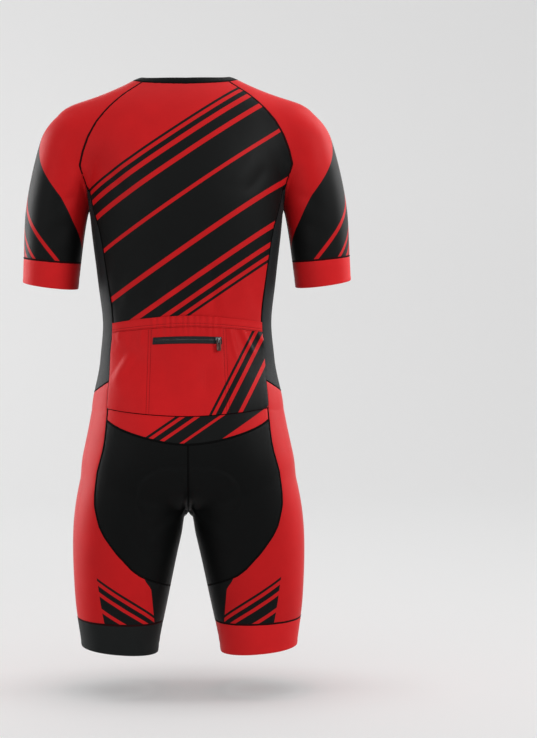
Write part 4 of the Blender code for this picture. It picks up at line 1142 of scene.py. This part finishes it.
def editParts(piece, kind, chosen, step):  # select some faces or edges, then run the step on them
    selectOnly(piece)
    bpy.ops.object.mode_set(mode="EDIT")
    bpy.ops.mesh.select_mode(type=kind)
    bpy.ops.mesh.select_all(action="DESELECT")
    bpy.ops.object.mode_set(mode="OBJECT")
    for part in piece.data.polygons if kind == "FACE" else piece.data.edges:
        part.select = chosen(part)
    bpy.ops.object.mode_set(mode="EDIT")
    step()
    bpy.ops.object.mode_set(mode="OBJECT")


def narrowFoot(piece, share):
    editParts(piece, "FACE", lambda f: f.normal.y < -0.5,
              lambda: bpy.ops.transform.resize(value=(share, 1, 1)))


def applyNow(piece, kind, **settings):
    modifier = piece.modifiers.new(kind.lower(), kind)
    for key, value in settings.items():
        setattr(modifier, key, value)
    bpy.context.view_layer.objects.active = piece
    bpy.ops.object.modifier_apply(modifier=modifier.name)


def soften(piece, width, segments=3):
    applyNow(piece, "BEVEL", width=width * mm, segments=segments, limit_method="ANGLE")


def joinTool(piece, tool, operation="DIFFERENCE"):
    applyNow(piece, "BOOLEAN", operation=operation, solver="EXACT", object=tool)
    bpy.data.objects.remove(tool, do_unlink=True)


def seatHard(piece, spot, material, node, body):
    origin, right, up, out = spot
    turn = np.eye(4)
    turn[:3, 0], turn[:3, 1], turn[:3, 2], turn[:3, 3] = right, up, out, origin * mm
    selectOnly(piece)
    piece.matrix_world = Matrix(turn.tolist())
    bpy.ops.object.transform_apply(location=True, rotation=True, scale=True)
    turnFacesOut(piece, merge=0.00001)
    bpy.ops.object.shade_smooth_by_angle(angle=math.radians(35))
    piece.data.materials.clear()
    piece.data.materials.append(material)
    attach(piece, body)
    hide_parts(node)


slider = {"body": (8.6, 9.4, 1.8), "bridge": (2.4, 6.6, 3.7), "window": (3.4, 3.6, 2.7), "bridgeFoot": 1.2}
pull = {"plate": (7.6, 1.2), "eye": (3.8, 5.2), "gripWide": 4.2, "height": 2.85, "over": 0.6, "corner": 1.6}


def makeSlider(name, spot, node):
    foot = slider["bridgeFoot"]
    base = startBlock(name, slider["body"], (0, 0, slider["body"][2] / 2))
    narrowFoot(base, 0.7)
    editParts(base, "FACE", lambda f: f.normal.z > 0.5,
              lambda: bpy.ops.mesh.inset(thickness=0.9 * mm, depth=-0.25 * mm))
    soften(base, 0.5)
    bridge = startBlock(name + "Bridge", slider["bridge"], (0, 0, foot + slider["bridge"][2] / 2))
    editParts(bridge, "FACE", lambda f: f.normal.z > 0.5, lambda: bpy.ops.transform.resize(value=(1, 0.9, 1)))
    soften(bridge, 0.6)
    joinTool(bridge, startBlock("window", slider["window"], (0, 0, foot + slider["window"][2] / 2)))
    joinTool(base, bridge, "UNION")
    seatHard(base, spot, cloth["sliderMetal"], node, "suit")


def makePull(name, spot, long, node, body):
    wide, thick = pull["plate"]
    plate = startBlock(name, (wide, long, thick), (0, pull["over"] - long / 2, pull["height"]))
    narrowFoot(plate, 0.86)

    def upright(edge):  # the four corners of the outline
        a, b = [plate.data.vertices[i].co for i in edge.vertices]
        return abs(a.z - b.z) > 0.5 * mm
    editParts(plate, "EDGE", upright, lambda: bpy.ops.mesh.bevel(offset=pull["corner"] * mm, segments=4))
    eye = startBlock("eye", (*pull["eye"], 3), (0, -pull["over"] - pull["eye"][1] / 2, pull["height"]))
    soften(eye, 0.8)
    joinTool(plate, eye)
    gripAt = (0, -long * 0.64, pull["height"] + thick / 2 + 0.2)
    grip = startBlock("grip", (pull["gripWide"], long * 0.45, 1.0), gripAt)
    soften(grip, 0.45, 2)
    joinTool(plate, grip)
    soften(plate, 0.28, 2)
    seatHard(plate, spot, cloth["pullMetal"], node, body)


def zipSpot(point, out, lift):
    up = np.array([0, 0, 1.0])
    up = unit(up - (up @ out) * out)
    return point + out * lift, np.cross(up, out), up, out


# pocket slider's place along the reach of its zip, each slider's height over the cloth and each tab's length
closed = {"along": 0.904, "pocketLift": 3.556, "frontLift": 0.3, "pocketTab": 18.0, "frontTab": 22.0}
column = half + zipReach * closed["along"]
out = unit(onGrid(backNormal, column * backSteps, zipRow * backSteps))
spot = zipSpot(onGrid(backForm, column * backSteps, zipRow * backSteps), out, closed["pocketLift"])
makeSlider("pocketSlider", spot, "pocket_slider")
makePull("pocketPull", spot, closed["pocketTab"], "pocket_pull", "pocket_pull_tab")
point = cast(np.array([0, 0, front[0, -1, 2]]), (0, -1, 0))
spot = zipSpot(point, outward(point[None])[0], closed["frontLift"])
makeSlider("frontSlider", spot, "front_slider")
makePull("frontPull", spot, closed["frontTab"], "front_pull", "front_pull_tab")
print("zip metal made")


# camera and light, as in the photo: from straight behind, the suit left of the middle
view = {"lens": 78.8, "sensor": 36, "shift": 0.1098, "place": (0, 2.65, -0.474), "turn": (90, 0.4, 180)}
studio = {"floor": -1.0, "wall": -5.2, "radius": 1.4, "near": 6.0, "high": 6.0, "half": 8, "grey": "#ECECEC",
          "glow": 0.13, "room": 0.6}
lamps = [  # name, place, aim, width, height, watts, spread; those that light the suit alone are flagged
    ("topSoftbox", (0, 0.1, 5.0), (0, 0, -0.5), 1.8, 1.4, 28, 110, False),
    ("paperLight", (3.2, -1.5, 0.4), (1.2, -5.2, -0.1), 2.0, 2.0, 11, 120, False),
    ("rimRight", (-1.4, -0.7, 0.5), (0, 0, -0.35), 0.7, 2.0, 8.5, 80, True),
    ("rimLeft", (1.5, -0.8, -0.1), (0, 0, -0.45), 0.6, 1.6, 6.5, 70, True),
    ("keyRight", (-2.4, 1.7, 0.9), (0, 0, -0.4), 0.9, 0.9, 6.5, 60, True),
    ("fillLeft", (2.0, 2.2, 0.2), (0, 0, -0.45), 1.4, 1.4, 3, 60, True)]

camera = bpy.data.objects.new("camera", bpy.data.cameras.new("camera"))
bpy.context.scene.collection.objects.link(camera)
camera.data.lens, camera.data.sensor_width, camera.data.shift_x = view["lens"], view["sensor"], view["shift"]
camera.location = view["place"]
camera.rotation_euler = [math.radians(a) for a in view["turn"]]
bpy.context.scene.camera = camera
bpy.context.scene.view_settings.view_transform = "Standard"


def makeStage():
    r = studio["radius"]
    bend = [(studio["wall"] + r - r * math.sin(a), studio["floor"] + r - r * math.cos(a))
            for a in np.linspace(0, math.pi / 2, 24)]
    line = [(studio["near"], studio["floor"])] + bend + [(studio["wall"], studio["high"])]
    verts = [(x, y, z) for y, z in line for x in (-studio["half"], studio["half"])]
    faces = [(2 * i, 2 * i + 1, 2 * i + 3, 2 * i + 2) for i in range(len(line) - 1)]
    mesh = bpy.data.meshes.new("studioSweep")
    mesh.from_pydata(verts, [], faces)
    mesh.shade_smooth()
    sweep = bpy.data.objects.new("studioSweep", mesh)
    bpy.context.scene.collection.objects.link(sweep)
    # matt background paper; the glow evens it out
    material, tree, shade = startMaterial("paperSweep", 0.9, Specular_IOR_Level=0.1,
                                          Emission_Color=(1, 1, 1, 1), Emission_Strength=studio["glow"])
    shade.inputs["Base Color"].default_value = linear(studio["grey"])
    mesh.materials.append(material)
    return sweep


def softLight(name, place, aim, wide, tall, watts, spread):
    data = bpy.data.lights.new(name, "AREA")
    data.shape, data.size, data.size_y, data.energy = "RECTANGLE", wide, tall, watts
    data.spread = math.radians(spread)
    lamp = bpy.data.objects.new(name, data)
    bpy.context.scene.collection.objects.link(lamp)
    lamp.location = place
    lamp.rotation_euler = (Vector(aim) - Vector(place)).to_track_quat("-Z", "Y").to_euler()
    return lamp


sweep = makeStage()
paperOnly = bpy.data.collections.new("paperOnly")
paperOnly.objects.link(sweep)
paperOnly.collection_objects[0].light_linking.link_state = "EXCLUDE"
for *settings, flagged in lamps:
    lamp = softLight(*settings)
    if flagged:
        lamp.light_linking.receiver_collection = paperOnly
world = bpy.data.worlds.new("studioRoom")
bpy.context.scene.world = world
world.use_nodes = True
world.node_tree.nodes["Background"].inputs[0].default_value = (1, 1, 1, 1)
world.node_tree.nodes["Background"].inputs[1].default_value = studio["room"]
